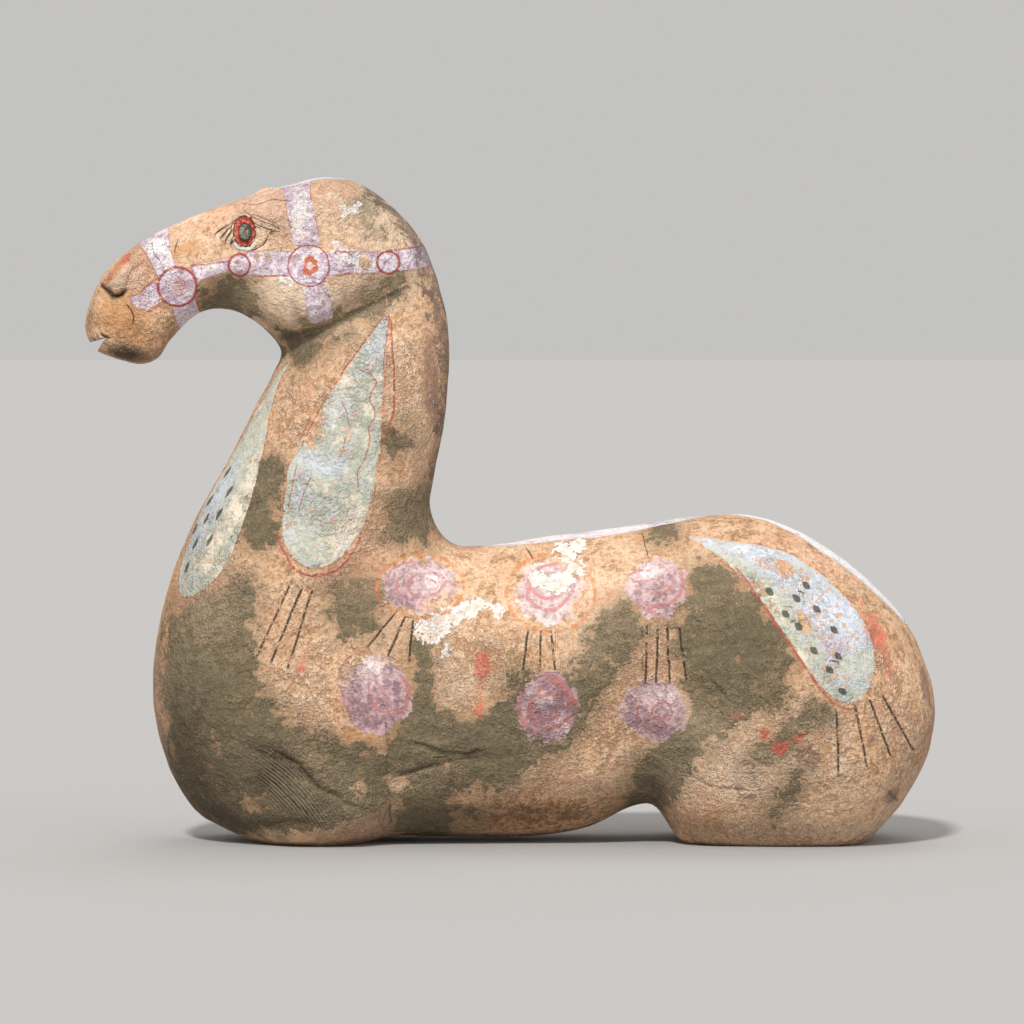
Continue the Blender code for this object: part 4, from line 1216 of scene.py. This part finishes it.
# Depths inside an outline are kept in millimetres, and no further out than matters.
FAR_OUT = 40.0
SOIL_DEEP = 8.0
SOIL_GAP_DEPTH = 18.0
soil_outlines = [line_of(places) for _, places in SOIL]
soil_depth = np.minimum(deepest(wandering, soil_outlines), SOIL_DEEP)
soil_depth = soil_depth - SOIL_GAP_DEPTH * stained(wandering, SOIL_GAPS)
keep("soil", np.clip(soil_depth, -FAR_OUT, FAR_OUT))
chalk_outlines = [line_of(places) for _, places in CHALK]
keep("chalk", np.clip(deepest(wandering, chalk_outlines, 0), -FAR_OUT, FAR_OUT))
STAINS = {
    "ochre": OCHRE,
    "red_stain": RED_STAINS,
    "dark_stain": DIRT_AND_SHADE_STAINS,
    "tone": TONE_AND_PAINTED_LIGHT,
    "smudge": SMUDGES,
    "roughness": ROUGHNESS,
}
for name, stains in STAINS.items():
    keep(name, stained(wandering, stains))

leaf_outline = np.array([breast(*place) for place in BREAST_LEAF])
breast_depth = depth_inside(breast_view, rounded(leaf_outline, 2))
side_outlines = [line_of(places) for places in LEAVES.values()]
leaf_depth = np.maximum(deepest(side_view, side_outlines, 2), breast_depth)
on_breast = breast_depth > -BREAST_MARGIN
keep("leaf", np.clip(leaf_depth, -FAR_OUT, FAR_OUT))
tint = np.where(on_breast, stained(breast_view, BREAST_TINTS, breast), stained(side_view, LEAF_TINTS))
keep("leaf_tint", tint)

centres = [placed(*place) for place in LEAF_SPOTS]
local, away, _ = nearest_round(side_view, centres, [(1.0, 1.0)] * len(centres))
c, s = math.cos(SPOT_LEAN), math.sin(SPOT_LEAN)
turned = np.stack([local[:, 0] * c + local[:, 1] * s, local[:, 1] * c - local[:, 0] * s], axis=1)
centres = [breast(*place) for place in BREAST_SPOTS]
local, breast_away, _ = nearest_round(breast_view, centres, [(1.0, 1.0)] * len(centres))
spot = np.where(on_breast[:, None], local * BREAST_SPOT_SHRINK, turned)
spot_there = near_enough(np.where(on_breast, breast_away, away), SPOT_REACH, SPOT_FADE)
keep("spot", np.column_stack([spot, spot_there]))

keep("white", stained(side_view, WHITES))
loss = np.where(on_breast, stained(breast_view, BREAST_LOSSES, breast), stained(side_view, LEAF_LOSSES))
keep("leaf_loss", loss)
keep("fold", strokes(side_view, [row[:2] for row in FOLDS]))
keep("fold_dirt", nearest_value(side_view, FOLDS))
keep("red_stroke", strokes(side_view, RED_STROKES))
keep("black_stroke", strokes(side_view, BLACK_STROKES))
keep("fan", fans(side_view, FANS))

local, away, number = nearest_round(
    side_view, [placed(*row[1]) for row in BODY_ROUNDELS], [row[2] for row in BODY_ROUNDELS]
)
keep("roundel", np.column_stack([local, near_enough(away, ROUNDEL_REACH, ROUNDEL_FADE)]))
keep("roundel_look", np.array([row[3] for row in BODY_ROUNDELS])[number])
keep("disc_tint", stained(side_view, DISC_TINTS))
keep("curl", strokes(side_view, CURLS))

local, away, number = nearest_round(
    side_view, [placed(*row[1]) for row in BRIDLE_ROUNDELS], [(row[2], row[2]) for row in BRIDLE_ROUNDELS]
)
keep("bridle_ring", np.column_stack([local, near_enough(away, RING_REACH, ROUNDEL_FADE)]))
keep("ring_look", np.array([row[2:] for row in BRIDLE_ROUNDELS])[number])
strap_outlines = [line_of(places) for _, places in STRAPS]
keep("strap", np.clip(deepest(side_view, strap_outlines, 0), -FAR_OUT, FAR_OUT))

local, away, _ = nearest_round(side_view, [placed(*EYE[0])], [EYE[1]])
keep("eye", np.column_stack([local, near_enough(away, EYE_REACH, EYE_FADE)]))

# Strips along the middle: where each starts and ends along the length and up the height, its half width
# near the start, halfway and near the end, and how white it is. The ends are rounded off.
STRIPS = (
    ("back strap", (46.4, 73.0), (42.0, 60.0), (18.0, 26.0, 22.0), 0.6),
    ("crupper", (75.0, 96.6), (28.0, 60.0), (16.0, 32.0, 34.0), 1.0),
    ("blaze", (21.4, 31.0), (92.0, 104.0), (16.0, 21.0, 15.0), 0.9),
)
MANE_HALF_WIDTH = 33.0  # in millimetres round from the back line
MANE_EDGE = 10.0
NAPE_START = (30.0, 51.0)  # the mane lies behind and above this place
NAPE_BLEND = (3.0, 4.0)
length_share = (points[:, 0] / FIGURE_LENGTH + 0.5) * 100
height_share = points[:, 2] / FIGURE_HEIGHT * 100
percent_long = FIGURE_LENGTH / MM / 100  # in millimetres
percent_high = FIGURE_HEIGHT / MM / 100
strip = np.full(len(points), -FAR_OUT)
strip_white = np.zeros(len(points))
for _, (first, last), (low, high), widths, white in STRIPS:
    way = (length_share - first) / (last - first)
    end_shape = np.clip(1 - np.abs(2 * way - 1) ** 5, 0, 1) ** 0.5
    half_width = np.interp(way, (0.1, 0.5, 0.9), widths) * end_shape
    ends = np.minimum(length_share - first, last - length_share) * percent_long
    levels = np.minimum(height_share - low, high - height_share) * percent_high
    depth = np.minimum(np.minimum(half_width - from_back, ends), levels)
    strip_white[depth > strip] = white
    strip = np.maximum(strip, depth)
keep("strip", np.clip(strip, -FAR_OUT, FAR_OUT))
keep("strip_white", strip_white)

# The mane is 1 on the paint that is left, and far enough below nothing off the nape that the noise never
# brings it out there.
behind = np.clip((length_share - NAPE_START[0]) / NAPE_BLEND[0], 0, 1)
above = np.clip((height_share - NAPE_START[1]) / NAPE_BLEND[1], 0, 1)
on_nape = behind * above
keep("mane", np.clip((MANE_HALF_WIDTH - from_back) / MANE_EDGE, -4, 1) * on_nape - 5 * (1 - on_nape))
keep("far", far)

# Comb marks on the folded foreleg run in curves round a place before and below it. On the rear leg the
# scraper went level and left rough streaks.
COMB_MIDDLE = (10.0, -10.0)
COMB_SPACING = 2.4  # from one mark to the next, in millimetres
COMBED = (((24.9, 8.4), (28.0, 11.0), -48, 2.0),)
RAKED = (((84.0, 6.0), (80.0, 24.0), 0, 1.4),)
combed = stained(side_view, COMBED)
raked = stained(side_view, RAKED)
round_centre = np.linalg.norm(side_view - placed(*COMB_MIDDLE), axis=1) / MM
keep("comb", np.column_stack([round_centre, np.clip(combed, 0, 1), np.clip(raked, 0, 1)]))


def coloured(red, green, blue):
    """A paint given as on a colour chart, from 0 to 255, as the shader wants it."""
    parts = []
    for part in (red / 255, green / 255, blue / 255):
        parts.append(part / 12.92 if part <= 0.04045 else ((part + 0.055) / 1.055) ** 2.4)
    return (*parts, 1.0)


class Field:
    """A number or colour that changes over the clay. A sum of fields adds the nodes that work it out."""

    tree = None

    def __init__(self, socket):
        self.socket = socket

    @classmethod
    def node(cls, kind, settings=None, sockets=None, output=0):
        """Adds a node. Its settings come first, and then its sockets, as values or as fields."""
        made = cls.tree.nodes.new(kind)
        for name, value in (settings or {}).items():
            if name == "stops":
                stops = made.color_ramp.elements
                while len(stops) < len(value):
                    stops.new(1.0)
                for stop, (place, colour) in zip(stops, value):
                    stop.position = place
                    stop.color = colour
            else:
                setattr(made, name, value)
        for name, value in (sockets or {}).items():
            if isinstance(value, Field):
                cls.tree.links.new(value.socket, made.inputs[name])
            else:
                made.inputs[name].default_value = value
        return cls(made.outputs[output])

    @classmethod
    def maths(cls, operation, *values):
        return cls.node("ShaderNodeMath", {"operation": operation}, dict(enumerate(values)))

    def __add__(self, other):
        return Field.maths("ADD", self, other)

    def __sub__(self, other):
        return Field.maths("SUBTRACT", self, other)

    def __rsub__(self, other):
        return Field.maths("SUBTRACT", other, self)

    def __mul__(self, other):
        return Field.maths("MULTIPLY", self, other)

    def __truediv__(self, other):
        return Field.maths("DIVIDE", self, other)

    def __abs__(self):
        return Field.maths("ABSOLUTE", self)

    __radd__ = __add__
    __rmul__ = __mul__

    def rise(self, low, high):
        """0 where the field is at low, 1 where it is at high, and smooth between them."""
        smooth = {"interpolation_type": "SMOOTHSTEP"}
        return Field.node("ShaderNodeMapRange", smooth, {0: self, 1: low, 2: high})

    def least(self, other):
        return Field.maths("MINIMUM", self, other)


def stored(name):
    return Field.node("ShaderNodeAttribute", {"attribute_name": name}, None, "Fac")


def stored_row(name):
    row = Field.node("ShaderNodeAttribute", {"attribute_name": name}, None, "Vector")
    parts = Field.node("ShaderNodeSeparateXYZ", None, {"Vector": row})
    return [Field(parts.socket.node.outputs[n]) for n in range(3)]


def painted(under, paint, cover):
    """A colour laid over another where cover is 1. A plain one is given as on a colour chart."""
    under, paint = (coloured(*colour) if isinstance(colour, tuple) else colour for colour in (under, paint))
    return Field.node("ShaderNodeMix", {"data_type": "RGBA"}, {0: cover, 6: under, 7: paint}, 2)


def grain(size, detail=3.0, roughness=0.58, stretch=(1.0, 1.0, 1.0)):
    """Noise on the clay with lumps of about this many millimetres, from 0 to 1 with 0.5 in the middle."""
    shift = (size * 0.37, size * 1.9, size * 0.71)
    spot = Field.node("ShaderNodeMapping", None, {"Vector": here, "Location": shift, "Scale": stretch})
    sockets = {"Vector": spot, "Scale": 1000 / size, "Detail": detail, "Roughness": roughness}
    return Field.node("ShaderNodeTexNoise", None, sockets, 0)


PAINT_EDGE = 1.2  # a coat of paint thins out over this depth inside its outline, in millimetres
WEAR_DEPTH = 4
BRUSH_SOFTNESS = 0.35


def coated(depth, thickness):
    """Cover of a paint by how deep inside its outline a place lies. A thinner paint has flaked off more."""
    return (depth.least(PAINT_EDGE) + thickness - worn * WEAR_DEPTH).rise(0.0, 0.5)


def brushed(beside, half_width, there):
    """Cover of a brush line by the distance beside its middle."""
    return (half_width - abs(beside + wobble)).rise(-BRUSH_SOFTNESS, BRUSH_SOFTNESS) * there


def tones(place, stops):
    """A colour between several, each at its own number from 0 to 1."""
    colours = [(share, coloured(*colour)) for share, colour in stops]
    return Field.node("ShaderNodeValToRGB", {"stops": colours}, {0: place})


clay = bpy.data.materials.new("painted_clay")
clay.use_nodes = True
Field.tree = clay.node_tree
shader = clay.node_tree.nodes["Principled BSDF"]
here = Field.node("ShaderNodeTexCoord", None, None, "Object")

# The noises, from clouds as broad as a hand down to grit, and the same again with their middle at nothing.
broad = grain(70.0, 2.0)
mid = grain(17.0, 4.0)
flake = grain(9.0, 4.0, 0.65)
small = grain(4.6, 3.0, 0.65)
flecks = grain(2.4, 2.0)
fine = grain(1.0, 1.0)
strokes_in_mud = grain(5.0, 3.0, 0.6, (0.30, 1.0, 0.8))
clouded, uneven, flaking, lumpy, flecked, grainy, streaks = (
    noise_field - 0.5 for noise_field in (broad, mid, flake, small, flecks, fine, strokes_in_mud)
)

# How worn the paint is, a little more so on the far side, and how a brush line wavers, in millimetres.
worn = flaking * 1.2 + lumpy + flecked * 0.8 + stored("far") * 0.08
wobble = lumpy * 1.4 + uneven * 1.5

# The bare clay: a thin pale slip, worn through in flakes to the darker body, with grit and pale specks.
CLAY_TONES = (
    (0.0, (122, 92, 68)),
    (0.28, (166, 129, 96)),
    (0.5, (198, 157, 122)),
    (0.7, (222, 183, 149)),
    (1.0, (244, 217, 188)),
)
PINKER_CLAY = (212, 148, 122)
DARK_GRIT = (104, 80, 60)
PALE_SPECKS = (244, 226, 204)
OCHRE_CLAY = (204, 146, 92)
# The clay and the mud are made lighter or darker by place, partly the clay's own tone and partly painted
# light and shade.
tone = stored("tone")
rough = (stored("roughness") + clouded + uneven * 0.9).rise(-0.16, 0.16)
slip = (flake + lumpy * 0.5 + uneven * 0.6 + tone * 0.12 - rough * 0.10).rise(0.40, 0.43)
chips = (small + flecked * 0.9 - rough * 0.12).rise(0.41, 0.45)
level = uneven * 0.6 + lumpy * 0.4 + clouded * 0.7
level = level + (flecked * 0.9 + grainy * 1.5) * (rough * 0.6 + 0.5)
level = level + slip * 0.16 + chips * 0.10 + tone * 0.5 + 0.41
paint = tones(level, CLAY_TONES)
paint = painted(paint, PINKER_CLAY, (broad + flaking * 0.8).rise(0.5, 0.68) * 0.4)
specks = rough * 0.7 + 0.25
paint = painted(paint, DARK_GRIT, (fine + flecked * 0.4).rise(0.62, 0.70) * specks * 0.6)
paint = painted(paint, PALE_SPECKS, (fine + flecks).rise(0.86, 0.76) * (tone + 0.75) * specks * 0.5)
ochre = stored("ochre") + flaking * 1.2 + lumpy
paint = painted(paint, OCHRE_CLAY, ochre.rise(0.1, 1.0) * 0.75)

# Soil, with a thin film of it beyond the edge and brushed-out places in it. The noises shift its edge by so
# many millimetres.
MUD_TONES = (
    (0.0, (88, 80, 61)),
    (0.42, (115, 104, 82)),
    (0.75, (144, 129, 103)),
    (1.0, (178, 160, 132)),
)
SOIL_FILM = (144, 124, 97)
DIRT_AND_SHADE_COLOUR = (62, 54, 42)
VIOLET_SMUDGE = (122, 92, 86)
soil = stored("soil") + uneven * 36 + flaking * 28 + lumpy * 18 + flecked * 9
soiled = soil.rise(-2.2, 1.6)
mud = tones(lumpy * 0.5 + clouded + grainy * 0.9 + streaks * 0.6 + tone * 0.4 + 0.47, MUD_TONES)
paint = painted(paint, SOIL_FILM, soil.rise(-20.0, 1.0) * 0.55)
film = (mid + streaks * 0.4 + clouded * 0.8).rise(0.66, 0.54)
paint = painted(paint, mud, soiled * (film * 0.30 + 0.66))
# Dark stains of soil and chipped paint, with painted shade under the jaw and lip and low on the breast.
dark = stored("dark_stain") + uneven * 0.8 + lumpy * 0.5
paint = painted(paint, DIRT_AND_SHADE_COLOUR, dark.rise(0.15, 1.2) * 0.6 + dark.rise(1.3, 2.4) * 0.32)
smudged = (stored("smudge") + flaking * 1.6 + lumpy * 1.2).rise(0.45, 0.85)
paint = painted(paint, VIOLET_SMUDGE, smudged * 0.6)

# White ground that lay under the colours and has come bare.
GROUND_TONES = (
    (0.30, (226, 196, 180)),
    (0.48, (240, 226, 212)),
    (0.62, (246, 240, 234)),
)
chalk = stored("chalk")
chalky = (chalk.least(2.4) + uneven * 8 + flaking * 10 + lumpy * 12 + flecked * 6 + 0.3).rise(-0.2, 0.5)
gesso = tones(small + flecked * 0.6, GROUND_TONES)
paint = painted(paint, gesso, chalky)
white = (stored("white") + flaking * 2.6 + lumpy * 2.0).rise(0.45, 0.62)

# The leaves.
LEAF_TONES = (
    (0.0, (238, 225, 204)),
    (0.28, (221, 213, 194)),
    (0.46, (187, 191, 175)),
    (0.62, (206, 209, 201)),
    (0.80, (198, 206, 216)),
    (1.0, (222, 229, 240)),
)
LEAF_STREAKS = (156, 156, 138)
LEAF_FLAKES = (190, 164, 144)
LEAF_LILAC = (214, 198, 214)
LEAF_CRACKS = (150, 122, 110)
LEAF_WHITE = (222, 224, 224)
LEAF_EDGE = (178, 92, 74)
leaf = stored("leaf")
lost = stored("leaf_loss") + flaking * 2.0 + lumpy * 0.9
leaf_there = coated(leaf + wobble * 1.6 - 0.4, -0.1) * lost.rise(0.75, 0.55)
leaf_paint = tones(stored("leaf_tint") * 0.46 + uneven * 1.2 + flecked * 0.5 + flaking + 0.48, LEAF_TONES)
streaked = (strokes_in_mud + lumpy * 0.6).rise(0.53, 0.66)
leaf_paint = painted(leaf_paint, LEAF_STREAKS, streaked * 0.45)
leaf_paint = painted(leaf_paint, LEAF_FLAKES, (flake + flecked * 0.4).rise(0.60, 0.65) * 0.5)
disc_tint = stored("disc_tint")
leaf_paint = painted(leaf_paint, LEAF_LILAC, (disc_tint + flaking * 1.6).rise(0.35, 0.75) * 0.6)
cracked = (lost + flecked * 2.2 + lumpy * 0.8).rise(0.42, 0.66)
leaf_paint = painted(leaf_paint, LEAF_WHITE, white * 0.7)
leaf_paint = painted(leaf_paint, LEAF_CRACKS, cracked * 0.55)
paint = painted(paint, leaf_paint, leaf_there)
outline = brushed(leaf + 0.7, 0.5, (flake + lumpy).rise(0.58, 0.42) * 0.55)
paint = painted(paint, LEAF_EDGE, outline)

# The roundels on the body: curls of pink on a lilac disc, and an orange ring round the upper ones.
DISC_TONES = (
    (0.0, (140, 110, 122)),
    (0.25, (178, 146, 154)),
    (0.5, (210, 182, 184)),
    (0.75, (234, 213, 213)),
    (1.0, (246, 236, 240)),
)
CURL_BROWN = (164, 100, 88)
CURL_PINK = (214, 142, 146)
RING_ORANGE = (222, 144, 92)
MEAN_RADIUS = 22.0
ORANGE_HALF_WIDTH = 1.2
across, up, there = stored_row("roundel")
ring_left, ring_reach, pale = stored_row("roundel_look")
reach = Field.maths("SQRT", across * across + up * up)
holes = (lost + flecked * 1.8 - pale * 0.4).rise(0.52, 0.36)
ragged = 0.98 - reach + flaking * 0.9 + lumpy * 0.6
disc = ragged.rise(-0.05, 0.06) * holes * there * (1.0 - chalky)
disc_paint = tones(pale + disc_tint + flaking * 1.1 + lumpy + flecked * 0.7, DISC_TONES)
paint = painted(paint, disc_paint, disc * 0.9)
beside, left, half_width = stored_row("curl")
curl = brushed(beside, half_width, left) * (flake + flecked * 1.4).rise(0.36, 0.50) * (1.0 - chalky * 0.6)
curl_paint = painted(CURL_BROWN, CURL_PINK, pale * 1.3)
paint = painted(paint, curl_paint, curl * 0.85)
ring_there = ring_left * there * (flake + lumpy * 0.6).rise(0.66, 0.40)
ring = brushed((reach - ring_reach) * MEAN_RADIUS, ORANGE_HALF_WIDTH, ring_there)
paint = painted(paint, RING_ORANGE, ring * 0.75)

# The bridle: lilac straps edged with red, with ringed roundels where they cross.
LILAC_TONES = (
    (0.36, (202, 178, 192)),
    (0.5, (228, 211, 224)),
    (0.62, (246, 238, 244)),
)
RUBBED_LILAC = (198, 144, 140)
LILAC_PITS = (110, 96, 92)
LILAC_WHITE = (246, 240, 238)
STRAP_EDGE = (176, 92, 86)
INNER_RING = (190, 110, 110)
CRESCENT_ORANGE = (220, 124, 96)
CRESCENT_CHIP = (236, 214, 208)
RING_RIM = (172, 72, 66)
THIN_LINE = 0.35  # half the width of the red lines along the straps and inside the rings
DISC_SHARE, INNER_SHARE, RIM_SHARE = 0.95, 0.74, 0.93  # of a ring's radius
strap = stored("strap")
strap_there = coated(strap + wobble * 0.9, -0.1) * lost.rise(0.85, 0.65)
lilac = tones(flake + lumpy * 0.9 + flecked * 0.5, LILAC_TONES)
lilac = painted(lilac, RUBBED_LILAC, (mid + flecked).rise(0.56, 0.70) * 0.4)
lilac = painted(lilac, LILAC_PITS, (small + flecked * 0.7).rise(0.34, 0.27) * 0.5)
lilac = painted(lilac, LILAC_WHITE, white * 0.9)
paint = painted(paint, lilac, strap_there)
edge = brushed(strap - 0.1, THIN_LINE, (mid + flaking).rise(0.56, 0.44))
paint = painted(paint, STRAP_EDGE, edge * 0.7)
across, up, there = stored_row("bridle_ring")
reach = Field.maths("SQRT", across * across + up * up)
radius, middle, ring_line = stored_row("ring_look")
paint = painted(paint, lilac, coated((DISC_SHARE - reach) * radius, 0.0) * there * lost.rise(0.85, 0.65))
inner_red = brushed((reach - INNER_SHARE) * radius, THIN_LINE, there * (flake + 0.2).rise(0.7, 0.5))
paint = painted(paint, INNER_RING, inner_red * 0.5)
crescent = (reach + lumpy * 0.3).rise(0.47, 0.41) * (across - up * 0.3 + lumpy * 0.5).rise(-0.26, -0.14)
paint = painted(paint, CRESCENT_ORANGE, crescent * middle * there)
chip = (abs(across - 0.05) + abs(up) + flecked * 0.4).rise(0.24, 0.18) * middle * there
paint = painted(paint, CRESCENT_CHIP, chip)
rim = brushed((reach - RIM_SHARE) * radius, ring_line, there) * (worn + 0.5).rise(0.80, 0.62)
paint = painted(paint, RING_RIM, rim * 0.9)

# Brush lines: red ones, black ones and the fans of strings.
LINE_RED = (180, 80, 66)
LINE_BLACK = (50, 42, 36)
STRING_BLACK = (50, 44, 38)
SPOT_BLACK = (62, 66, 60)
STRING_SHARE = 0.2  # half a string's width as a share of the gap between strings
STRING_MOST = 0.9
beside, there, half_width = stored_row("red_stroke")
drawn = brushed(beside, half_width, there) * worn.rise(0.30, 0.05)
paint = painted(paint, LINE_RED, drawn * 0.75)
beside, there, half_width = stored_row("black_stroke")
drawn = brushed(beside, half_width, there) * worn.rise(0.32, 0.1)
paint = painted(paint, LINE_BLACK, drawn * 0.9)
number, apart, there = stored_row("fan")
beside = (number - Field.maths("ROUND", number)) * apart
drawn = brushed(beside, (apart * STRING_SHARE).least(STRING_MOST), there)
drawn = drawn * (flecks + flaking * 1.2).rise(0.34, 0.44)
paint = painted(paint, STRING_BLACK, drawn * 0.9)
across, up, there = stored_row("spot")
almond = (abs(across) / 2.5 + up * up / 15.0 + flecked + flaking * 0.8).rise(1.1, 0.85)
paint = painted(paint, SPOT_BLACK, almond * there * leaf.rise(0, 1) * 0.85)

# The eye: a dark pupil in a red ring with a black rim, and a pale lower lid.
EYE_RED_TONES = (
    (0.35, (150, 46, 40)),
    (0.5, (188, 66, 56)),
    (0.65, (208, 116, 98)),
)
PUPIL_TONES = (
    (0.36, (70, 66, 58)),
    (0.5, (104, 100, 88)),
    (0.66, (150, 144, 128)),
)
LID_WHITE = (242, 234, 222)
EYE_RIM = (52, 40, 34)
PUPIL_RIM = (56, 48, 42)
# How far out each part of the eye goes, in the eye's radii: where there is none of it, and where it covers.
LID_OUT = (1.42, 1.34)
RIM_OUT = (1.14, 1.07)
RED_OUT = (1.02, 0.95)
PUPIL_RIM_OUT = (0.68, 0.62)
PUPIL_OUT = (0.60, 0.50)
across, up, there = stored_row("eye")
reach = Field.maths("SQRT", across * across + up * up) + lumpy * 0.3 + uneven * 0.3
lid = reach.rise(*LID_OUT) * (up + abs(across) * 0.30).rise(-0.42, -0.60) * there
paint = painted(paint, LID_WHITE, lid * (flecks + 0.4).rise(0.72, 0.84))
paint = painted(paint, EYE_RIM, reach.rise(*RIM_OUT) * there * (flecks + 0.5).rise(0.84, 0.98))
red_ring = tones(flecks + lumpy, EYE_RED_TONES)
paint = painted(paint, red_ring, reach.rise(*RED_OUT) * there)
inner = reach - across * 0.10 + up * 0.06
paint = painted(paint, PUPIL_RIM, inner.rise(*PUPIL_RIM_OUT) * there)
pupil = tones(flecks + lumpy * 0.8, PUPIL_TONES)
paint = painted(paint, pupil, (inner + flecked * 0.5).rise(*PUPIL_OUT) * there)

# Strips of paint down the middle, and what is left of the mane.
STRIP_WHITE = (240, 238, 238)
STRIP_LINES = (96, 84, 82)
MANE_BROWN = (108, 90, 82)
OUTER_LINE, INNER_LINE = 0.6, 3.4  # how deep inside a strip its two thin lines run
LINE_HALF_WIDTH = 0.4
strip = stored("strip")
strip_white = stored("strip_white")
strip_paint = painted(lilac, STRIP_WHITE, strip_white * 0.85)
paint = painted(paint, strip_paint, coated(strip + wobble, -0.15))
outer = brushed(strip - OUTER_LINE, LINE_HALF_WIDTH, strip_white)
thin_lines = outer + brushed(strip - INNER_LINE, LINE_HALF_WIDTH, strip_white)
paint = painted(paint, STRIP_LINES, thin_lines * worn.rise(0.3, 0.1) * 0.8)
mane = stored("mane") + flaking * 5 + lumpy * 4 + uneven * 3
paint = painted(paint, MANE_BROWN, mane.rise(0.1, 1.0) * 0.75)

# Red stains, and painted shade and dirt in the folds.
STAIN_RED = (214, 98, 80)
FOLD_SHADE_AND_DIRT = (46, 38, 30)
red = stored("red_stain") + flaking * 1.8 + lumpy * 1.4
paint = painted(paint, STAIN_RED, red.rise(0.35, 0.85) * 0.68)
# The folds are darkened with painted shade, and some dirt, where the mesh is too coarse to shade them.
beside, there, half_width = stored_row("fold")
groove = ((abs(beside + wobble * 0.7) / half_width).rise(1.7, 0.1)) * there
paint = painted(paint, FOLD_SHADE_AND_DIRT, groove * groove * stored("fold_dirt") * 0.95)

# Comb marks, with a painted highlight along their crests.
CREST_HIGHLIGHT = (168, 156, 132)
across_marks, combed, raked = stored_row("comb")
marks = Field.maths("SINE", across_marks * (math.tau / COMB_SPACING) + uneven * 4) * combed
paint = painted(paint, CREST_HIGHLIGHT, marks.rise(0.2, 0.9) * 0.5)

# Painted shade in the pits and painted highlights on the grains of grit, following the fine relief, over
# every paint.
PIT_SHADE = (90, 70, 54)
GRIT_HIGHLIGHT = (240, 226, 206)
pitted = fine + flecked * 0.6
paint = painted(paint, PIT_SHADE, pitted.rise(0.42, 0.28) * specks * 0.34)
paint = painted(paint, GRIT_HIGHLIGHT, pitted.rise(0.60, 0.74) * (rough * 0.14 + 0.10) * (1.0 - soiled * 0.7))

CLAY_ROUGHNESS = 0.9
CLAY_SHEEN = 0.25
shader.inputs["Roughness"].default_value = CLAY_ROUGHNESS
shader.inputs["Specular IOR Level"].default_value = CLAY_SHEEN
Field.tree.links.new(paint.socket, shader.inputs["Base Color"])

# The relief too fine for the mesh, in millimetres: flaked slip, grit, soil, paint edges, folds and combing.
gritty = lumpy * 2.8 + grainy * 1.6 + flecked * 2.4 + chips * 0.5 + slip * 0.7
height = uneven * 3.0 + gritty * (rough * 0.75 + 0.25) + marks * 0.8 + soiled * 0.4
height = height + streaks * (raked * 2.6 + soiled * 0.7 + 0.8)
height = height + leaf_there * 0.25 + strap_there * 0.2 + chalky * 0.5 - groove * half_width * 1.2
relief = Field.node("ShaderNodeBump", None, {"Strength": 1.0, "Distance": MM, "Height": height}, "Normal")
Field.tree.links.new(relief.socket, shader.inputs["Normal"])
clay_mesh.materials.clear()
clay_mesh.materials.append(clay)

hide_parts("horse_figure")
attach(horse, "root")
